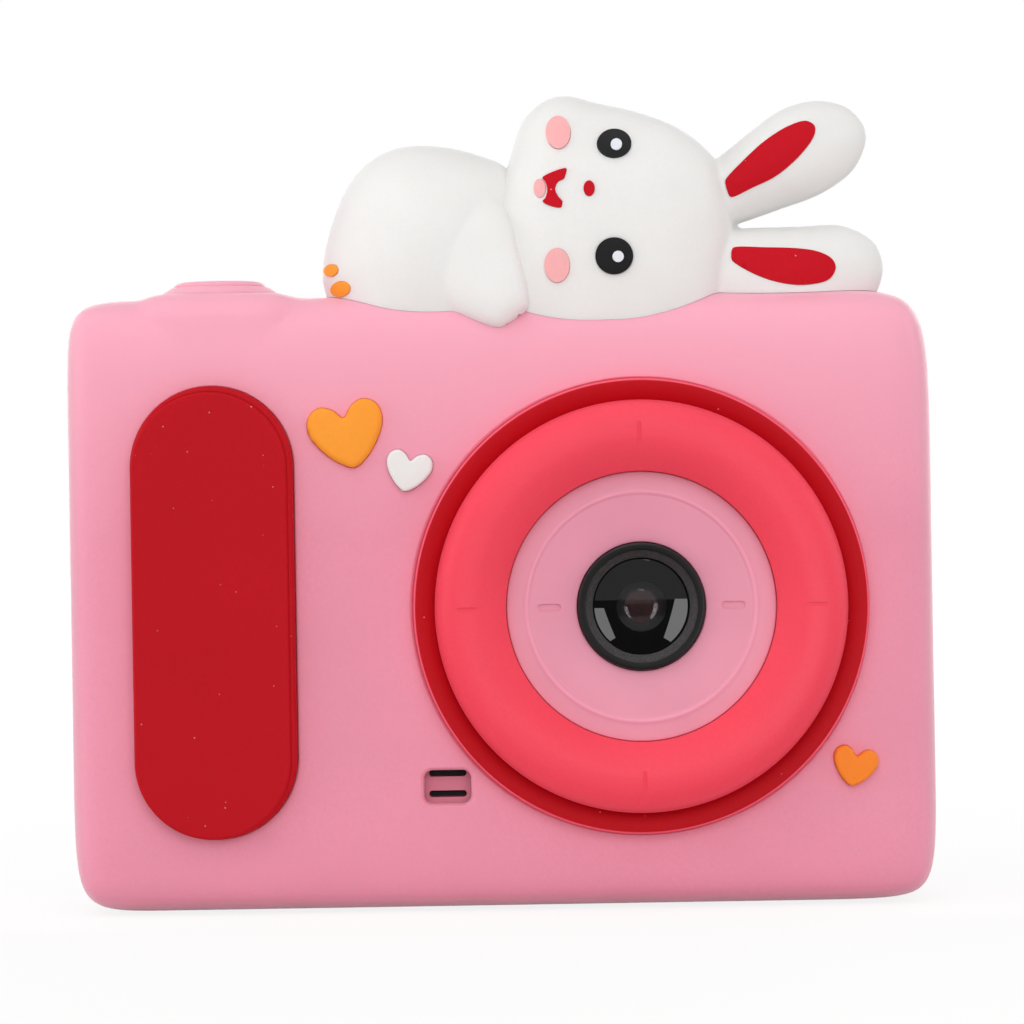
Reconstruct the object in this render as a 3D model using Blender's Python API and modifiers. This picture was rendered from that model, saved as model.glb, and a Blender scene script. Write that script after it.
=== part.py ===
"""Kids digital camera: a hard camera core in a soft silicone sleeve, with a lying rabbit figure on top.

Metres, +Z up. The lens looks along -Y, the shutter button is on the -X side, and the origin is the
middle of the flat base that the camera stands on. Run it with blender --background --python part.py.
"""

import math

import bmesh
import bpy
import numpy as np
from mathutils import Matrix, Vector

MM = 0.001

# Gaps between pieces that touch on the real camera
CLEARANCE = 0.3 * MM
TRIM_GAP = 0.15 * MM
MERGE_DISTANCE = 0.003 * MM

# Silicone sleeve
SLEEVE_WIDTH = 93.0 * MM
SLEEVE_HEIGHT = 65.9 * MM
SLEEVE_DEPTH = 32.0 * MM
SLEEVE_WALL = 2.2 * MM
SLEEVE_CORNER_RADIUS = 6.0 * MM
SLEEVE_FRONT_RADIUS = 5.5 * MM
SLEEVE_BACK_RADIUS = 2.6 * MM
LIP_OVERLAP = 3.8 * MM
LIP_THICKNESS = 1.6 * MM
POCKET_DEPTH = 0.9 * MM

# One drawn millimetre across: the lens, grip, hearts, keys, screen and rabbit keep their share of the width
UNITS_ACROSS = 93
ACROSS = SLEEVE_WIDTH / UNITS_ACROSS

# Hard case
CASE_WALL = 1.6 * MM
PANEL_SINK = 0.4 * MM
PANEL_THICKNESS = 2.2 * MM
PANEL_CORNER_RADIUS = 4.0 * MM
CASE_BACK_RADIUS = 1.0 * MM

# Finger grip
GRIP_WIDTH = 17.4 * ACROSS
GRIP_LENGTH = 48.3 * MM
GRIP_MARGIN = 7.2 * ACROSS
GRIP_RISE = 2.0 * MM
GRIP_EDGE_RADIUS = 0.8 * MM

# Lens stack, measured from the middle of the lens
COLLAR_RADIUS = 24.2 * ACROSS
COLLAR_MARGIN = 7.5 * ACROSS
COLLAR_RISE = 2.0 * MM
COLLAR_EDGE = 0.5 * MM
LENS_DROP = 0.75 * MM
RING_OUTER_RADIUS = 21.9 * ACROSS
RING_INNER_RADIUS = 14.3 * ACROSS
RING_HEIGHT = 3.8 * MM
RING_SIDE_POWER = 0.75
RING_CROWN_POWER = 0.8
FACE_RECESS = 3.4 * MM
FACE_THICKNESS = 1.4 * MM
FACE_GROOVE_RADIUS = 12.0 * ACROSS
FACE_GROOVE_WIDTH = 0.4 * MM
FACE_GROOVE_DEPTH = 0.3 * MM
TUBE_WALL = 1.5 * MM
BARREL_RADIUS = 6.8 * ACROSS
BARREL_RISE = 0.8 * MM
BARREL_RIM = 0.6 * MM
BARREL_CHAMFER = 0.9 * MM
BARREL_FLANGE_RADIUS = 8.8 * ACROSS
BARREL_FLANGE_THICKNESS = 1.2 * MM
BARREL_LENGTH = 8.0 * MM
GLASS_RADIUS = 5.0 * ACROSS
GLASS_THICKNESS = 1.0 * MM
GLASS_CROWN = 0.35 * MM
GLASS_LEDGE = 0.9 * MM
ELEMENT_RADIUS = 2.6 * ACROSS
ELEMENT_CROWN = 1.1 * MM
ELEMENT_EDGE = 0.3 * MM
MODULE_FLANGE_RADIUS = 6.0 * ACROSS
MODULE_FLANGE_THICKNESS = 1.6 * MM
SENSOR_BOARD_SIDE = 13.0 * ACROSS
SENSOR_BOARD_THICKNESS = 0.8 * MM
FLEX_WIDTH = 8.0 * ACROSS
FLEX_THICKNESS = 0.3 * MM
FLEX_DROP = 11.0 * MM
FLEX_TAIL = 5.0 * MM

# Heart inlays: width, gap to the collar's edge, bearing from the lens and tilt
HEART_RISE = 1.0 * MM
HEART_EDGE_RADIUS = 0.5 * MM
HEART_HEIGHT_SHARE = 0.86
# Half of a heart from its notch to its tip, as shares of its width
HEART_NOTCH = (0.0, 0.25)
HEART_SIDE = [(0.13, 0.40), (0.29, 0.47), (0.45, 0.36), (0.49, 0.12), (0.37, -0.17), (0.18, -0.41)]
HEART_TIP = (0.0, -0.52)
LARGE_HEART_WIDTH = 8.5 * ACROSS
LARGE_HEART_GAP = 12.0 * ACROSS
LARGE_HEART_BEARING = math.radians(148.7)
LARGE_HEART_TILT = math.radians(12.0)
WHITE_HEART_WIDTH = 5.3 * ACROSS
WHITE_HEART_GAP = 4.4 * ACROSS
WHITE_HEART_BEARING = math.radians(148.9)
WHITE_HEART_TILT = math.radians(-12.0)
SMALL_HEART_WIDTH = 5.0 * ACROSS
SMALL_HEART_GAP = 4.2 * ACROSS
SMALL_HEART_BEARING = math.radians(-37.7)
SMALL_HEART_TILT = math.radians(-12.0)

# Speaker behind its window in the sleeve
SPEAKER_GAP = 3.8 * ACROSS
SPEAKER_BEARING = math.radians(221.8)
SPEAKER_WINDOW_WIDTH = 5.0 * ACROSS
SPEAKER_WINDOW_HEIGHT = 3.9 * ACROSS
SPEAKER_WINDOW_RADIUS = 0.6 * MM
SPEAKER_SLOT_LENGTH = 4.0 * ACROSS
SPEAKER_SLOT_WIDTH = 0.7 * ACROSS
SPEAKER_SLOT_SPACING = 2.2 * ACROSS
SPEAKER_RADIUS = 6.5 * ACROSS
SPEAKER_THICKNESS = 3.6 * MM
FENCE_WALL = 1.0 * MM
FENCE_HEIGHT = 2.0 * MM

# Shutter button on its turret
SHUTTER_INSET = 16.5 * ACROSS
SHUTTER_SETBACK = 9.4 * MM
SHUTTER_RADIUS = 6.25 * MM
SHUTTER_RISE = 1.2 * MM
SHUTTER_TRAVEL = 1.0 * MM
SHUTTER_EDGE = 0.4 * MM
SHUTTER_POCKET_DEPTH = 1.7 * MM
TURRET_RADIUS = 9.3 * MM
TURRET_RISE = 0.7 * MM
TURRET_RIM = 0.9 * MM
TURRET_FOOT = 7.0 * MM
TURRET_SHOULDER_SHARE = 0.7
STEM_RADIUS = 2.0 * MM
STEM_REACH = 3.5 * MM
STEM_FLANGE_RADIUS = 3.4 * MM
STEM_FLANGE_THICKNESS = 1.2 * MM
SWITCH_SIDE = 6.0 * MM
SWITCH_HEIGHT = 2.5 * MM
PLUNGER_RADIUS = 1.6 * MM
PLUNGER_HEIGHT = 1.0 * MM
SHUTTER_BOARD_WIDTH = 9.0 * MM
SHUTTER_BOARD_THICKNESS = 1.0 * MM
SHELF_OVERHANG = 0.5 * MM
SHELF_THICKNESS = 1.4 * MM
SHELF_REACH = 12.0 * MM

# Boards, screen and battery
BOARD_THICKNESS = 1.2 * MM
BOARD_MARGIN = 0.6 * MM
BOARD_CORNER_RADIUS = 2.5 * MM
LCD_WIDTH = 46.0 * ACROSS
LCD_HEIGHT = 37.0 * MM
LCD_THICKNESS = 2.4 * MM
FOAM_INSET = 6.0 * MM
FOAM_THICKNESS = 2.1 * MM
WINDOW_WIDTH = 44.0 * ACROSS
WINDOW_HEIGHT = 36.0 * MM
WINDOW_THICKNESS = 1.1 * MM
WINDOW_SINK = 0.1 * MM
WINDOW_MARGIN = 6.2 * ACROSS
WINDOW_LEDGE = 1.2 * MM
WINDOW_CORNER_RADIUS = 2.0 * MM
CHIP_SIDE = 10.0 * MM
CHIP_THICKNESS = 1.0 * MM
CHIP_DROP = 14.0 * MM
BATTERY_WIDTH = 27.0 * ACROSS
BATTERY_LENGTH = 30.0 * MM
BATTERY_THICKNESS = 6.0 * MM
BATTERY_EDGE = 1.2 * MM
BATTERY_FOOT = 9.0 * MM
BATTERY_MARGIN = 0.6 * MM
PLUG_WIDTH = 4.0 * MM
PLUG_HEIGHT = 5.0 * MM
PLUG_THICKNESS = 2.2 * MM
LEAD_RADIUS = 0.7 * MM
LEAD_INSET = 5.0 * MM
LEAD_RISE = 3.0 * MM

# Screws
SCREW_INSET_X = 2.6 * MM
SCREW_INSET_Z = 3.2 * MM
SCREW_RADIUS = 0.9 * MM
SCREW_LENGTH = 11.0 * MM
SCREW_HEAD_RADIUS = 1.9 * MM
SCREW_HEAD_HEIGHT = 1.3 * MM
SCREW_HEAD_SINK = 0.8 * MM
SCREW_HEAD_EDGE = 0.4 * MM
BOSS_RADIUS = 3.0 * MM

# Keys on the back
KEY_INSET = 14.0 * ACROSS
KEY_RISE = 0.8 * MM
KEY_TRAVEL = 0.6 * MM
KEY_EDGE = 0.4 * MM
KEY_FLANGE_WIDTH = 0.8 * MM
KEY_FLANGE_THICKNESS = 0.8 * MM
KEY_STEM_RADIUS = 1.4 * MM
ARROW_KEY_RADIUS = 2.8 * ACROSS
OK_KEY_RADIUS = 3.4 * ACROSS
ROUND_KEY_RADIUS = 2.6 * ACROSS
PAD_SPACING = 8.2 * ACROSS
PAD_DROP = 4.5 * MM
ROUND_KEY_SPACING = 11.0 * ACROSS
ROUND_KEY_LIFT = 18.5 * MM
PLAY_KEY_DROP = 16.0 * MM
DOME_SHEET_THICKNESS = 0.3 * MM
DOME_SHEET_MARGIN = 1.2 * MM
DOME_RADIUS = 2.0 * MM
DOME_TOP_RADIUS = 1.0 * MM
DOME_HEIGHT = 0.5 * MM

# Ports on the +X side
PORT_DROP = 2.0 * MM
PORT_SPACING = 18.5 * MM
PORT_WINDOW_WIDTH = 9.0 * MM
PORT_WINDOW_MARGIN = 2.0 * MM
PORT_WINDOW_RADIUS = 3.0 * MM
USB_WIDTH = 8.9 * MM
USB_HEIGHT = 3.2 * MM
USB_LENGTH = 7.3 * MM
USB_WALL = 0.35 * MM
USB_CAVITY_DEPTH = 5.6 * MM
USB_TONGUE_WIDTH = 6.6 * MM
USB_TONGUE_THICKNESS = 0.7 * MM
USB_TONGUE_LENGTH = 4.6 * MM
USB_SINK = 0.4 * MM
CARD_LENGTH = 15.0 * MM
CARD_WIDTH = 11.0 * MM
CARD_THICKNESS = 0.9 * MM
CARD_SINK = 0.5 * MM
SOCKET_WALL = 0.5 * MM
SOCKET_SIDE_WALL = 1.2 * MM

# Rabbit figure: outline points are drawn millimetres across and above the sleeve's top
RABBIT_FROM_SHUTTER = 29.8 * ACROSS
RABBIT_SETBACK = 11.0 * MM
RABBIT_ROUNDNESS = 2.4
HEAD_FRONT, HEAD_BACK = 11.3 * MM, 11.0 * MM
BODY_FRONT, BODY_BACK = 11.0 * MM, 11.0 * MM
ARM_SETBACK = 3.2 * MM
ARM_FRONT, ARM_BACK = 4.4 * MM, 5.0 * MM
EAR_SETBACK = 9.8 * MM
EAR_FRONT, EAR_BACK = 4.6 * MM, 6.0 * MM
INLAY_RISE = 0.3 * MM
INLAY_SINK = 0.6 * MM
GLINT_RISE = 0.5 * MM
GLINT_SINK = 0.2 * MM

HEAD_OUTLINE = [
    (8.0, 21.5), (11.0, 20.7), (16.2, 19.4), (20.7, 17.4), (24.2, 14.1), (25.6, 9.5), (25.7, 6.0),
    (25.0, 1.0), (23.0, -4.5), (18.0, -8.5), (12.0, -9.5), (6.0, -8.0), (2.5, -4.0), (1.2, 2.0),
    (1.1, 8.5), (1.9, 14.6), (3.2, 18.6), (5.6, 20.9),
]
BODY_OUTLINE = [
    (-18.7, 2.2), (-18.2, 5.8), (-17.1, 9.3), (-15.7, 12.2), (-13.7, 14.5), (-11.0, 16.0), (-7.9, 16.4),
    (-4.7, 16.1), (-2.0, 15.4), (1.4, 13.9), (4.2, 9.0), (5.0, 2.0), (3.0, -5.0), (-3.0, -8.5),
    (-10.0, -8.5), (-16.0, -6.0), (-18.3, -2.0),
]
ARM_OUTLINE = [
    (0.5, 11.0), (1.6, 8.7), (2.3, 5.7), (2.9, 2.5), (3.5, -0.3), (3.3, -1.9), (2.2, -3.0), (0.3, -3.8),
    (-1.3, -3.3), (-3.1, -2.5), (-4.5, -1.9), (-5.8, -0.5), (-6.5, 1.5), (-6.3, 4.5), (-5.0, 8.0),
    (-2.2, 11.0),
]
UPPER_EAR_OUTLINE = [
    (17.5, 8.5), (20.5, 11.5), (24.3, 14.4), (28.0, 17.3), (31.6, 19.7), (35.3, 20.5), (38.8, 19.5),
    (40.5, 16.9), (39.3, 13.3), (36.0, 10.7), (30.6, 8.7), (27.0, 7.5), (23.0, 6.3), (19.0, 6.0),
]
LOWER_EAR_OUTLINE = [
    (17.5, 3.5), (21.0, 6.2), (27.1, 6.8), (33.2, 6.9), (37.7, 6.9), (41.1, 5.1), (42.1, 2.4), (41.4, -0.3),
    (39.5, -3.0), (33.0, -4.8), (26.0, -4.8), (20.0, -2.0),
]
UPPER_INLAY_OUTLINE = [
    (25.0, 11.6), (28.2, 15.1), (31.9, 17.5), (33.9, 18.0), (34.7, 17.2), (33.8, 15.7), (30.5, 12.9),
    (25.6, 9.9),
]
LOWER_INLAY_OUTLINE = [
    (25.7, 4.5), (29.3, 4.4), (32.9, 4.3), (36.0, 3.3), (36.5, 2.0), (35.6, 0.8), (32.8, 0.3), (29.3, 1.1),
    (25.6, 2.9),
]
MOUTH_OUTLINE = [
    (7.9, 13.1), (6.5, 12.9), (5.5, 12.2), (5.95, 11.0), (5.5, 9.7), (6.2, 9.0), (7.3, 8.8), (7.3, 9.5),
    (6.75, 10.4), (6.65, 11.1), (6.9, 11.7), (7.7, 12.3),
]
# Ovals on the rabbit: middle across and above the sleeve's top, half width, half height
OVALS = {
    "eye_upper": (13.0, 15.6, 1.85, 1.55),
    "eye_lower": (12.8, 3.6, 2.02, 1.98),
    "eye_glint_upper": (13.2, 15.4, 0.66, 0.66),
    "eye_glint_lower": (13.2, 3.5, 0.66, 0.66),
    "cheek_upper": (7.1, 16.9, 1.32, 1.81),
    "cheek_lower": (6.7, 2.7, 1.38, 1.88),
    "nose": (10.3, 10.9, 0.62, 0.86),
    "tongue": (5.0, 11.0, 0.62, 1.0),
    "toe_spot_upper": (-17.5, 2.8, 0.75, 0.65),
    "toe_spot_lower": (-16.5, 0.75, 1.05, 0.8),
}

# Facets
CORNER_STEPS = 4
SMALL_CORNER_STEPS = 3
PILL_STEPS = 8
TURN_STEPS = 36
SMALL_TURN_STEPS = 14
OVAL_STEPS = 14
GLINT_STEPS = 8
SPLINE_STEPS = 2
FIGURE_SPLINE_STEPS = 8
FIGURE_SPOKES = 24
FIGURE_RINGS = 10
RING_STEPS = 8
DOME_SHARES = (0.0, 0.4, 0.75, 1.0)
SHARP_ANGLE = math.radians(35)
FLAT_ANGLE = math.radians(1)
OVERCUT = 1.0 * MM

# Finishes: colour as photographed (0 to 255), roughness, metallic
FINISHES = {
    "pink_silicone": ((231, 145, 169), 0.6, 0.0),
    "red_silicone": ((185, 29, 40), 0.6, 0.0),
    "coral_silicone": ((243, 72, 91), 0.55, 0.0),
    "white_silicone": ((240, 239, 238), 0.6, 0.0),
    "orange_silicone": ((255, 158, 54), 0.6, 0.0),
    "cheek_silicone": ((250, 178, 180), 0.6, 0.0),
    "black_silicone": ((36, 36, 36), 0.5, 0.0),
    "pink_plastic": ((228, 149, 170), 0.45, 0.0),
    "white_plastic": ((240, 239, 238), 0.45, 0.0),
    "black_plastic": ((24, 24, 25), 0.35, 0.0),
    "clear_glass": ((40, 42, 46), 0.05, 0.0),
    "steel": ((170, 170, 172), 0.35, 1.0),
    "circuit_board": ((26, 84, 52), 0.5, 0.0),
    "flex_film": ((196, 128, 44), 0.4, 0.0),
    "battery_foil": ((178, 181, 186), 0.35, 0.0),
    "lead_rubber": ((150, 24, 24), 0.5, 0.0),
    "foam": ((58, 58, 60), 0.9, 0.0),
}

# Places worked out from the sizes
FRONT_Y = -SLEEVE_DEPTH / 2
BACK_Y = SLEEVE_DEPTH / 2
TOP_Z = SLEEVE_HEIGHT
MIDDLE_Z = SLEEVE_HEIGHT / 2
HALF_WIDTH = SLEEVE_WIDTH / 2

CASE_HALF_WIDTH = HALF_WIDTH - SLEEVE_WALL - CLEARANCE
CASE_BOTTOM = SLEEVE_WALL + CLEARANCE
CASE_TOP = TOP_Z - SLEEVE_WALL - CLEARANCE
CASE_FRONT = FRONT_Y + SLEEVE_WALL + CLEARANCE
CASE_BACK = BACK_Y - LIP_THICKNESS - CLEARANCE
CASE_CORNER_RADIUS = SLEEVE_CORNER_RADIUS - SLEEVE_WALL - CLEARANCE
CASE_FRONT_RADIUS = SLEEVE_FRONT_RADIUS - SLEEVE_WALL - CLEARANCE
INNER_HALF_WIDTH = CASE_HALF_WIDTH - CASE_WALL
INNER_BOTTOM = CASE_BOTTOM + CASE_WALL
INNER_TOP = CASE_TOP - CASE_WALL
INNER_FRONT = CASE_FRONT + CASE_WALL

PANEL_HALF_WIDTH = CASE_HALF_WIDTH - LIP_OVERLAP
PANEL_BOTTOM = CASE_BOTTOM + LIP_OVERLAP
PANEL_TOP = CASE_TOP - LIP_OVERLAP
PANEL_OUTER = BACK_Y - PANEL_SINK
PANEL_INNER = PANEL_OUTER - PANEL_THICKNESS

LCD_BACK = PANEL_INNER - CLEARANCE
LCD_FRONT = LCD_BACK - LCD_THICKNESS
FOAM_BACK = LCD_FRONT - CLEARANCE
FOAM_FRONT = FOAM_BACK - FOAM_THICKNESS
BOARD_BACK = FOAM_FRONT - CLEARANCE
BOARD_FRONT = BOARD_BACK - BOARD_THICKNESS
PART_LINE = BOARD_BACK

LENS_X = HALF_WIDTH - COLLAR_MARGIN - COLLAR_RADIUS
LENS_Z = MIDDLE_Z - LENS_DROP
COLLAR_FRONT = FRONT_Y - COLLAR_RISE
RING_BASE = COLLAR_FRONT - CLEARANCE
RING_CREST = RING_BASE - RING_HEIGHT
FACE_FRONT = RING_CREST + FACE_RECESS
FACE_BACK = FACE_FRONT + FACE_THICKNESS
TUBE_RADIUS = RING_INNER_RADIUS - CLEARANCE
TUBE_BORE = TUBE_RADIUS - TUBE_WALL
TUBE_FRONT = FACE_BACK + CLEARANCE
BARREL_FRONT = FACE_FRONT - BARREL_RISE
BARREL_BORE = GLASS_RADIUS + CLEARANCE
BARREL_BACK = BARREL_FRONT + BARREL_LENGTH
GLASS_FRONT = BARREL_FRONT + BARREL_CHAMFER
GLASS_BACK = GLASS_FRONT + GLASS_THICKNESS
LEDGE_FRONT = GLASS_BACK + CLEARANCE
LEDGE_RADIUS = GLASS_RADIUS - GLASS_LEDGE
MODULE_RADIUS = LEDGE_RADIUS - CLEARANCE
ELEMENT_TOP = GLASS_BACK + CLEARANCE
MODULE_FRONT = ELEMENT_TOP + ELEMENT_CROWN + ELEMENT_EDGE + CLEARANCE
MODULE_FLANGE_FRONT = BARREL_BACK + CLEARANCE
MODULE_BACK = MODULE_FLANGE_FRONT + MODULE_FLANGE_THICKNESS
SENSOR_FRONT = MODULE_BACK + CLEARANCE
SENSOR_BACK = SENSOR_FRONT + SENSOR_BOARD_THICKNESS

GRIP_X = -HALF_WIDTH + GRIP_MARGIN + GRIP_WIDTH / 2
GRIP_Z = LENS_Z
INLAY_SEAT = FRONT_Y + POCKET_DEPTH - CLEARANCE

SHUTTER_X = -HALF_WIDTH + SHUTTER_INSET
SHUTTER_Y = FRONT_Y + SHUTTER_SETBACK
TURRET_TOP = TOP_Z + TURRET_RISE
SHUTTER_FLOOR = TURRET_TOP - SHUTTER_POCKET_DEPTH
SHUTTER_BOTTOM = SHUTTER_FLOOR + SHUTTER_TRAVEL + CLEARANCE
SHUTTER_TOP = TURRET_TOP + SHUTTER_RISE
STEM_BOTTOM = INNER_TOP - STEM_REACH
SWITCH_TOP = STEM_BOTTOM - SHUTTER_TRAVEL - CLEARANCE
SWITCH_BOTTOM = SWITCH_TOP - PLUNGER_HEIGHT - SWITCH_HEIGHT
SHUTTER_BOARD_TOP = SWITCH_BOTTOM - CLEARANCE
SHUTTER_BOARD_BOTTOM = SHUTTER_BOARD_TOP - SHUTTER_BOARD_THICKNESS
SHELF_TOP = SHUTTER_BOARD_BOTTOM - CLEARANCE

SCREW_X = PANEL_HALF_WIDTH - SCREW_INSET_X
SCREW_LOW_Z = PANEL_BOTTOM + SCREW_INSET_Z
SCREW_HIGH_Z = PANEL_TOP - SCREW_INSET_Z
SCREW_SPOTS = [(x, z) for z in (SCREW_LOW_Z, SCREW_HIGH_Z) for x in (-SCREW_X, SCREW_X)]
SCREW_HEAD_TOP = PANEL_OUTER - SCREW_HEAD_SINK
SCREW_SEAT = SCREW_HEAD_TOP - SCREW_HEAD_HEIGHT - CLEARANCE
SCREW_TIP = SCREW_HEAD_TOP - SCREW_HEAD_HEIGHT - SCREW_LENGTH
SCREW_HOLE = SCREW_RADIUS + CLEARANCE

WINDOW_X = PANEL_HALF_WIDTH - WINDOW_MARGIN - WINDOW_WIDTH / 2
WINDOW_BACK = PANEL_OUTER - WINDOW_SINK
WINDOW_FRONT = WINDOW_BACK - WINDOW_THICKNESS

KEY_X = -PANEL_HALF_WIDTH + KEY_INSET
PAD_Z = MIDDLE_Z - PAD_DROP
DOME_SHEET_FRONT = BOARD_BACK + CLEARANCE
DOME_SHEET_BACK = DOME_SHEET_FRONT + DOME_SHEET_THICKNESS
DOME_TOP = DOME_SHEET_BACK + DOME_HEIGHT
KEY_STEM_END = DOME_TOP + KEY_TRAVEL + CLEARANCE
KEY_FLANGE_BACK = PANEL_INNER - CLEARANCE
# Name, radius, place across and up
KEYS = [
    ("key_ok", OK_KEY_RADIUS, KEY_X, PAD_Z),
    ("key_up", ARROW_KEY_RADIUS, KEY_X, PAD_Z + PAD_SPACING),
    ("key_down", ARROW_KEY_RADIUS, KEY_X, PAD_Z - PAD_SPACING),
    ("key_left", ARROW_KEY_RADIUS, KEY_X + PAD_SPACING, PAD_Z),
    ("key_right", ARROW_KEY_RADIUS, KEY_X - PAD_SPACING, PAD_Z),
    ("key_mode", ROUND_KEY_RADIUS, KEY_X + ROUND_KEY_SPACING / 2, PAD_Z + ROUND_KEY_LIFT),
    ("key_power", ROUND_KEY_RADIUS, KEY_X - ROUND_KEY_SPACING / 2, PAD_Z + ROUND_KEY_LIFT),
    ("key_play", ROUND_KEY_RADIUS, KEY_X, PAD_Z - PLAY_KEY_DROP),
]

PORT_Y = BOARD_FRONT - CLEARANCE - USB_HEIGHT / 2
PORT_Z = MIDDLE_Z - PORT_DROP
USB_Z = PORT_Z - PORT_SPACING / 2
CARD_Z = PORT_Z + PORT_SPACING / 2
USB_END = CASE_HALF_WIDTH - USB_SINK
SOCKET_DEPTH = CARD_THICKNESS + 2 * CLEARANCE + 2 * SOCKET_WALL
SOCKET_BACK = BOARD_FRONT - CLEARANCE
CARD_Y = SOCKET_BACK - SOCKET_DEPTH / 2
CARD_END = CASE_HALF_WIDTH - CARD_SINK
CARD_INNER_END = CARD_END - CARD_LENGTH
SOCKET_END = INNER_HALF_WIDTH - CLEARANCE
PORT_WINDOW_LOW = USB_Z - USB_WIDTH / 2 - PORT_WINDOW_MARGIN
PORT_WINDOW_HIGH = CARD_Z + CARD_WIDTH / 2 + PORT_WINDOW_MARGIN

BATTERY_LEFT = -INNER_HALF_WIDTH + BATTERY_MARGIN
BATTERY_RIGHT = BATTERY_LEFT + BATTERY_WIDTH
BATTERY_FRONT = INNER_FRONT + CLEARANCE
BATTERY_BOTTOM = INNER_BOTTOM + BATTERY_FOOT
BATTERY_TOP = BATTERY_BOTTOM + BATTERY_LENGTH
LEAD_X = BATTERY_RIGHT - LEAD_INSET
PLUG_BACK = BOARD_FRONT - CLEARANCE
PLUG_FRONT = PLUG_BACK - PLUG_THICKNESS
PLUG_Z = BATTERY_TOP + LEAD_RISE

RABBIT_X = SHUTTER_X + RABBIT_FROM_SHUTTER
RABBIT_Y = FRONT_Y + RABBIT_SETBACK
ARM_Y = FRONT_Y + ARM_SETBACK
EAR_Y = FRONT_Y + EAR_SETBACK

# Turns that point a piece's height to the lens side or the back, and a piece's front to the +X side
FORWARD = Matrix.Rotation(math.radians(90), 4, "X")
BACKWARD = Matrix.Rotation(math.radians(-90), 4, "X")
TO_PORT_SIDE = Matrix.Rotation(math.radians(90), 4, "Z")


def clear_scene():
    for obj in list(bpy.data.objects):
        bpy.data.objects.remove(obj, do_unlink=True)


def new_collection(name):
    collection = bpy.data.collections.new(name)
    bpy.context.scene.collection.children.link(collection)
    return collection


def linear(channel):
    """One photographed colour channel (0 to 255) as a linear value."""
    value = channel / 255
    return value / 12.92 if value <= 0.04045 else ((value + 0.055) / 1.055) ** 2.4


def new_material(name, finish):
    colour, roughness, metallic = FINISHES[finish]
    material = bpy.data.materials.new(name + "_finish")
    material.use_nodes = True
    shader = material.node_tree.nodes["Principled BSDF"]
    shader.inputs["Base Color"].default_value = (*(linear(channel) for channel in colour), 1.0)
    shader.inputs["Roughness"].default_value = roughness
    shader.inputs["Metallic"].default_value = metallic
    return material


class Builder:
    """Puts finished pieces in one collection and the shapes that cut them in another."""

    def __init__(self):
        self.parts = new_collection("kids_camera")
        self.cutters = new_collection("kids_camera_cutters")
        self.root = bpy.data.objects.new("camera_root", None)
        self.parts.objects.link(self.root)

    def add(self, name, bm, finish, matrix=None):
        """A finished piece from a bmesh, or a cutter where finish is None."""
        mesh = bpy.data.meshes.new(name)
        bm.to_mesh(mesh)
        bm.free()
        mesh.shade_smooth()
        mesh.set_sharp_from_angle(angle=SHARP_ANGLE)
        obj = bpy.data.objects.new(name, mesh)
        if matrix is not None:
            obj.matrix_world = matrix
        if finish is None:
            self.cutters.objects.link(obj)
            obj.hide_render = True
            obj.display_type = "WIRE"
        else:
            self.parts.objects.link(obj)
            obj.parent = self.root
            mesh.materials.append(new_material(name, finish))
        return obj

    def join(self, target, *others):
        for other in others:
            boolean(target, other, "UNION")

    def cut(self, target, *others):
        for other in others:
            boolean(target, other, "DIFFERENCE")


def boolean(target, other, operation):
    modifier = target.modifiers.new(operation.lower() + "_" + other.name, "BOOLEAN")
    modifier.operation = operation
    modifier.object = other


# Outlines, as points across and up


def oval(middle_x, middle_z, half_width, half_height, steps=OVAL_STEPS):
    angles = [2 * math.pi * step / steps for step in range(steps)]
    return [(middle_x + half_width * math.cos(a), middle_z + half_height * math.sin(a)) for a in angles]


def rounded_rectangle(width, height, radius, middle=(0.0, 0.0), steps=CORNER_STEPS):
    points = []
    for quarter, (side_x, side_z) in enumerate([(1, 1), (-1, 1), (-1, -1), (1, -1)]):
        corner_x = middle[0] + side_x * (width / 2 - radius)
        corner_z = middle[1] + side_z * (height / 2 - radius)
        for step in range(steps + 1):
            angle = (quarter + step / steps) * math.pi / 2
            points.append((corner_x + radius * math.cos(angle), corner_z + radius * math.sin(angle)))
    return without_doubles(points)


def without_doubles(points):
    kept = []
    for point in points:
        if not kept or math.dist(point, kept[-1]) > MERGE_DISTANCE:
            kept.append(point)
    if math.dist(kept[0], kept[-1]) < MERGE_DISTANCE:
        kept.pop()
    return kept


def smooth_outline(points, steps=SPLINE_STEPS):
    """A closed curve through the points, sampled steps times between each two."""
    count = len(points)
    knots = np.array(points)
    sampled = []
    for i in range(count):
        before, start, end, after = knots[i - 1], knots[i], knots[(i + 1) % count], knots[(i + 2) % count]
        for step in range(steps):
            t = step / steps
            curve = 2 * start + (end - before) * t
            curve = curve + (2 * before - 5 * start + 4 * end - after) * t**2
            curve = curve + (3 * start - before - 3 * end + after) * t**3
            sampled.append(tuple(curve / 2))
    return sampled


def grown(points, distance):
    """The outline moved outwards by a distance, for outlines that run either way round."""
    knots = np.array(points)
    along = np.roll(knots, -1, axis=0) - np.roll(knots, 1, axis=0)
    along = along / np.linalg.norm(along, axis=1)[:, None]
    outward = np.stack([along[:, 1], -along[:, 0]], axis=1)
    shifted = np.roll(knots, -1, axis=0)
    area = np.sum(knots[:, 0] * shifted[:, 1] - shifted[:, 0] * knots[:, 1])
    return [tuple(point) for point in knots + outward * distance * (1 if area > 0 else -1)]


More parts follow.
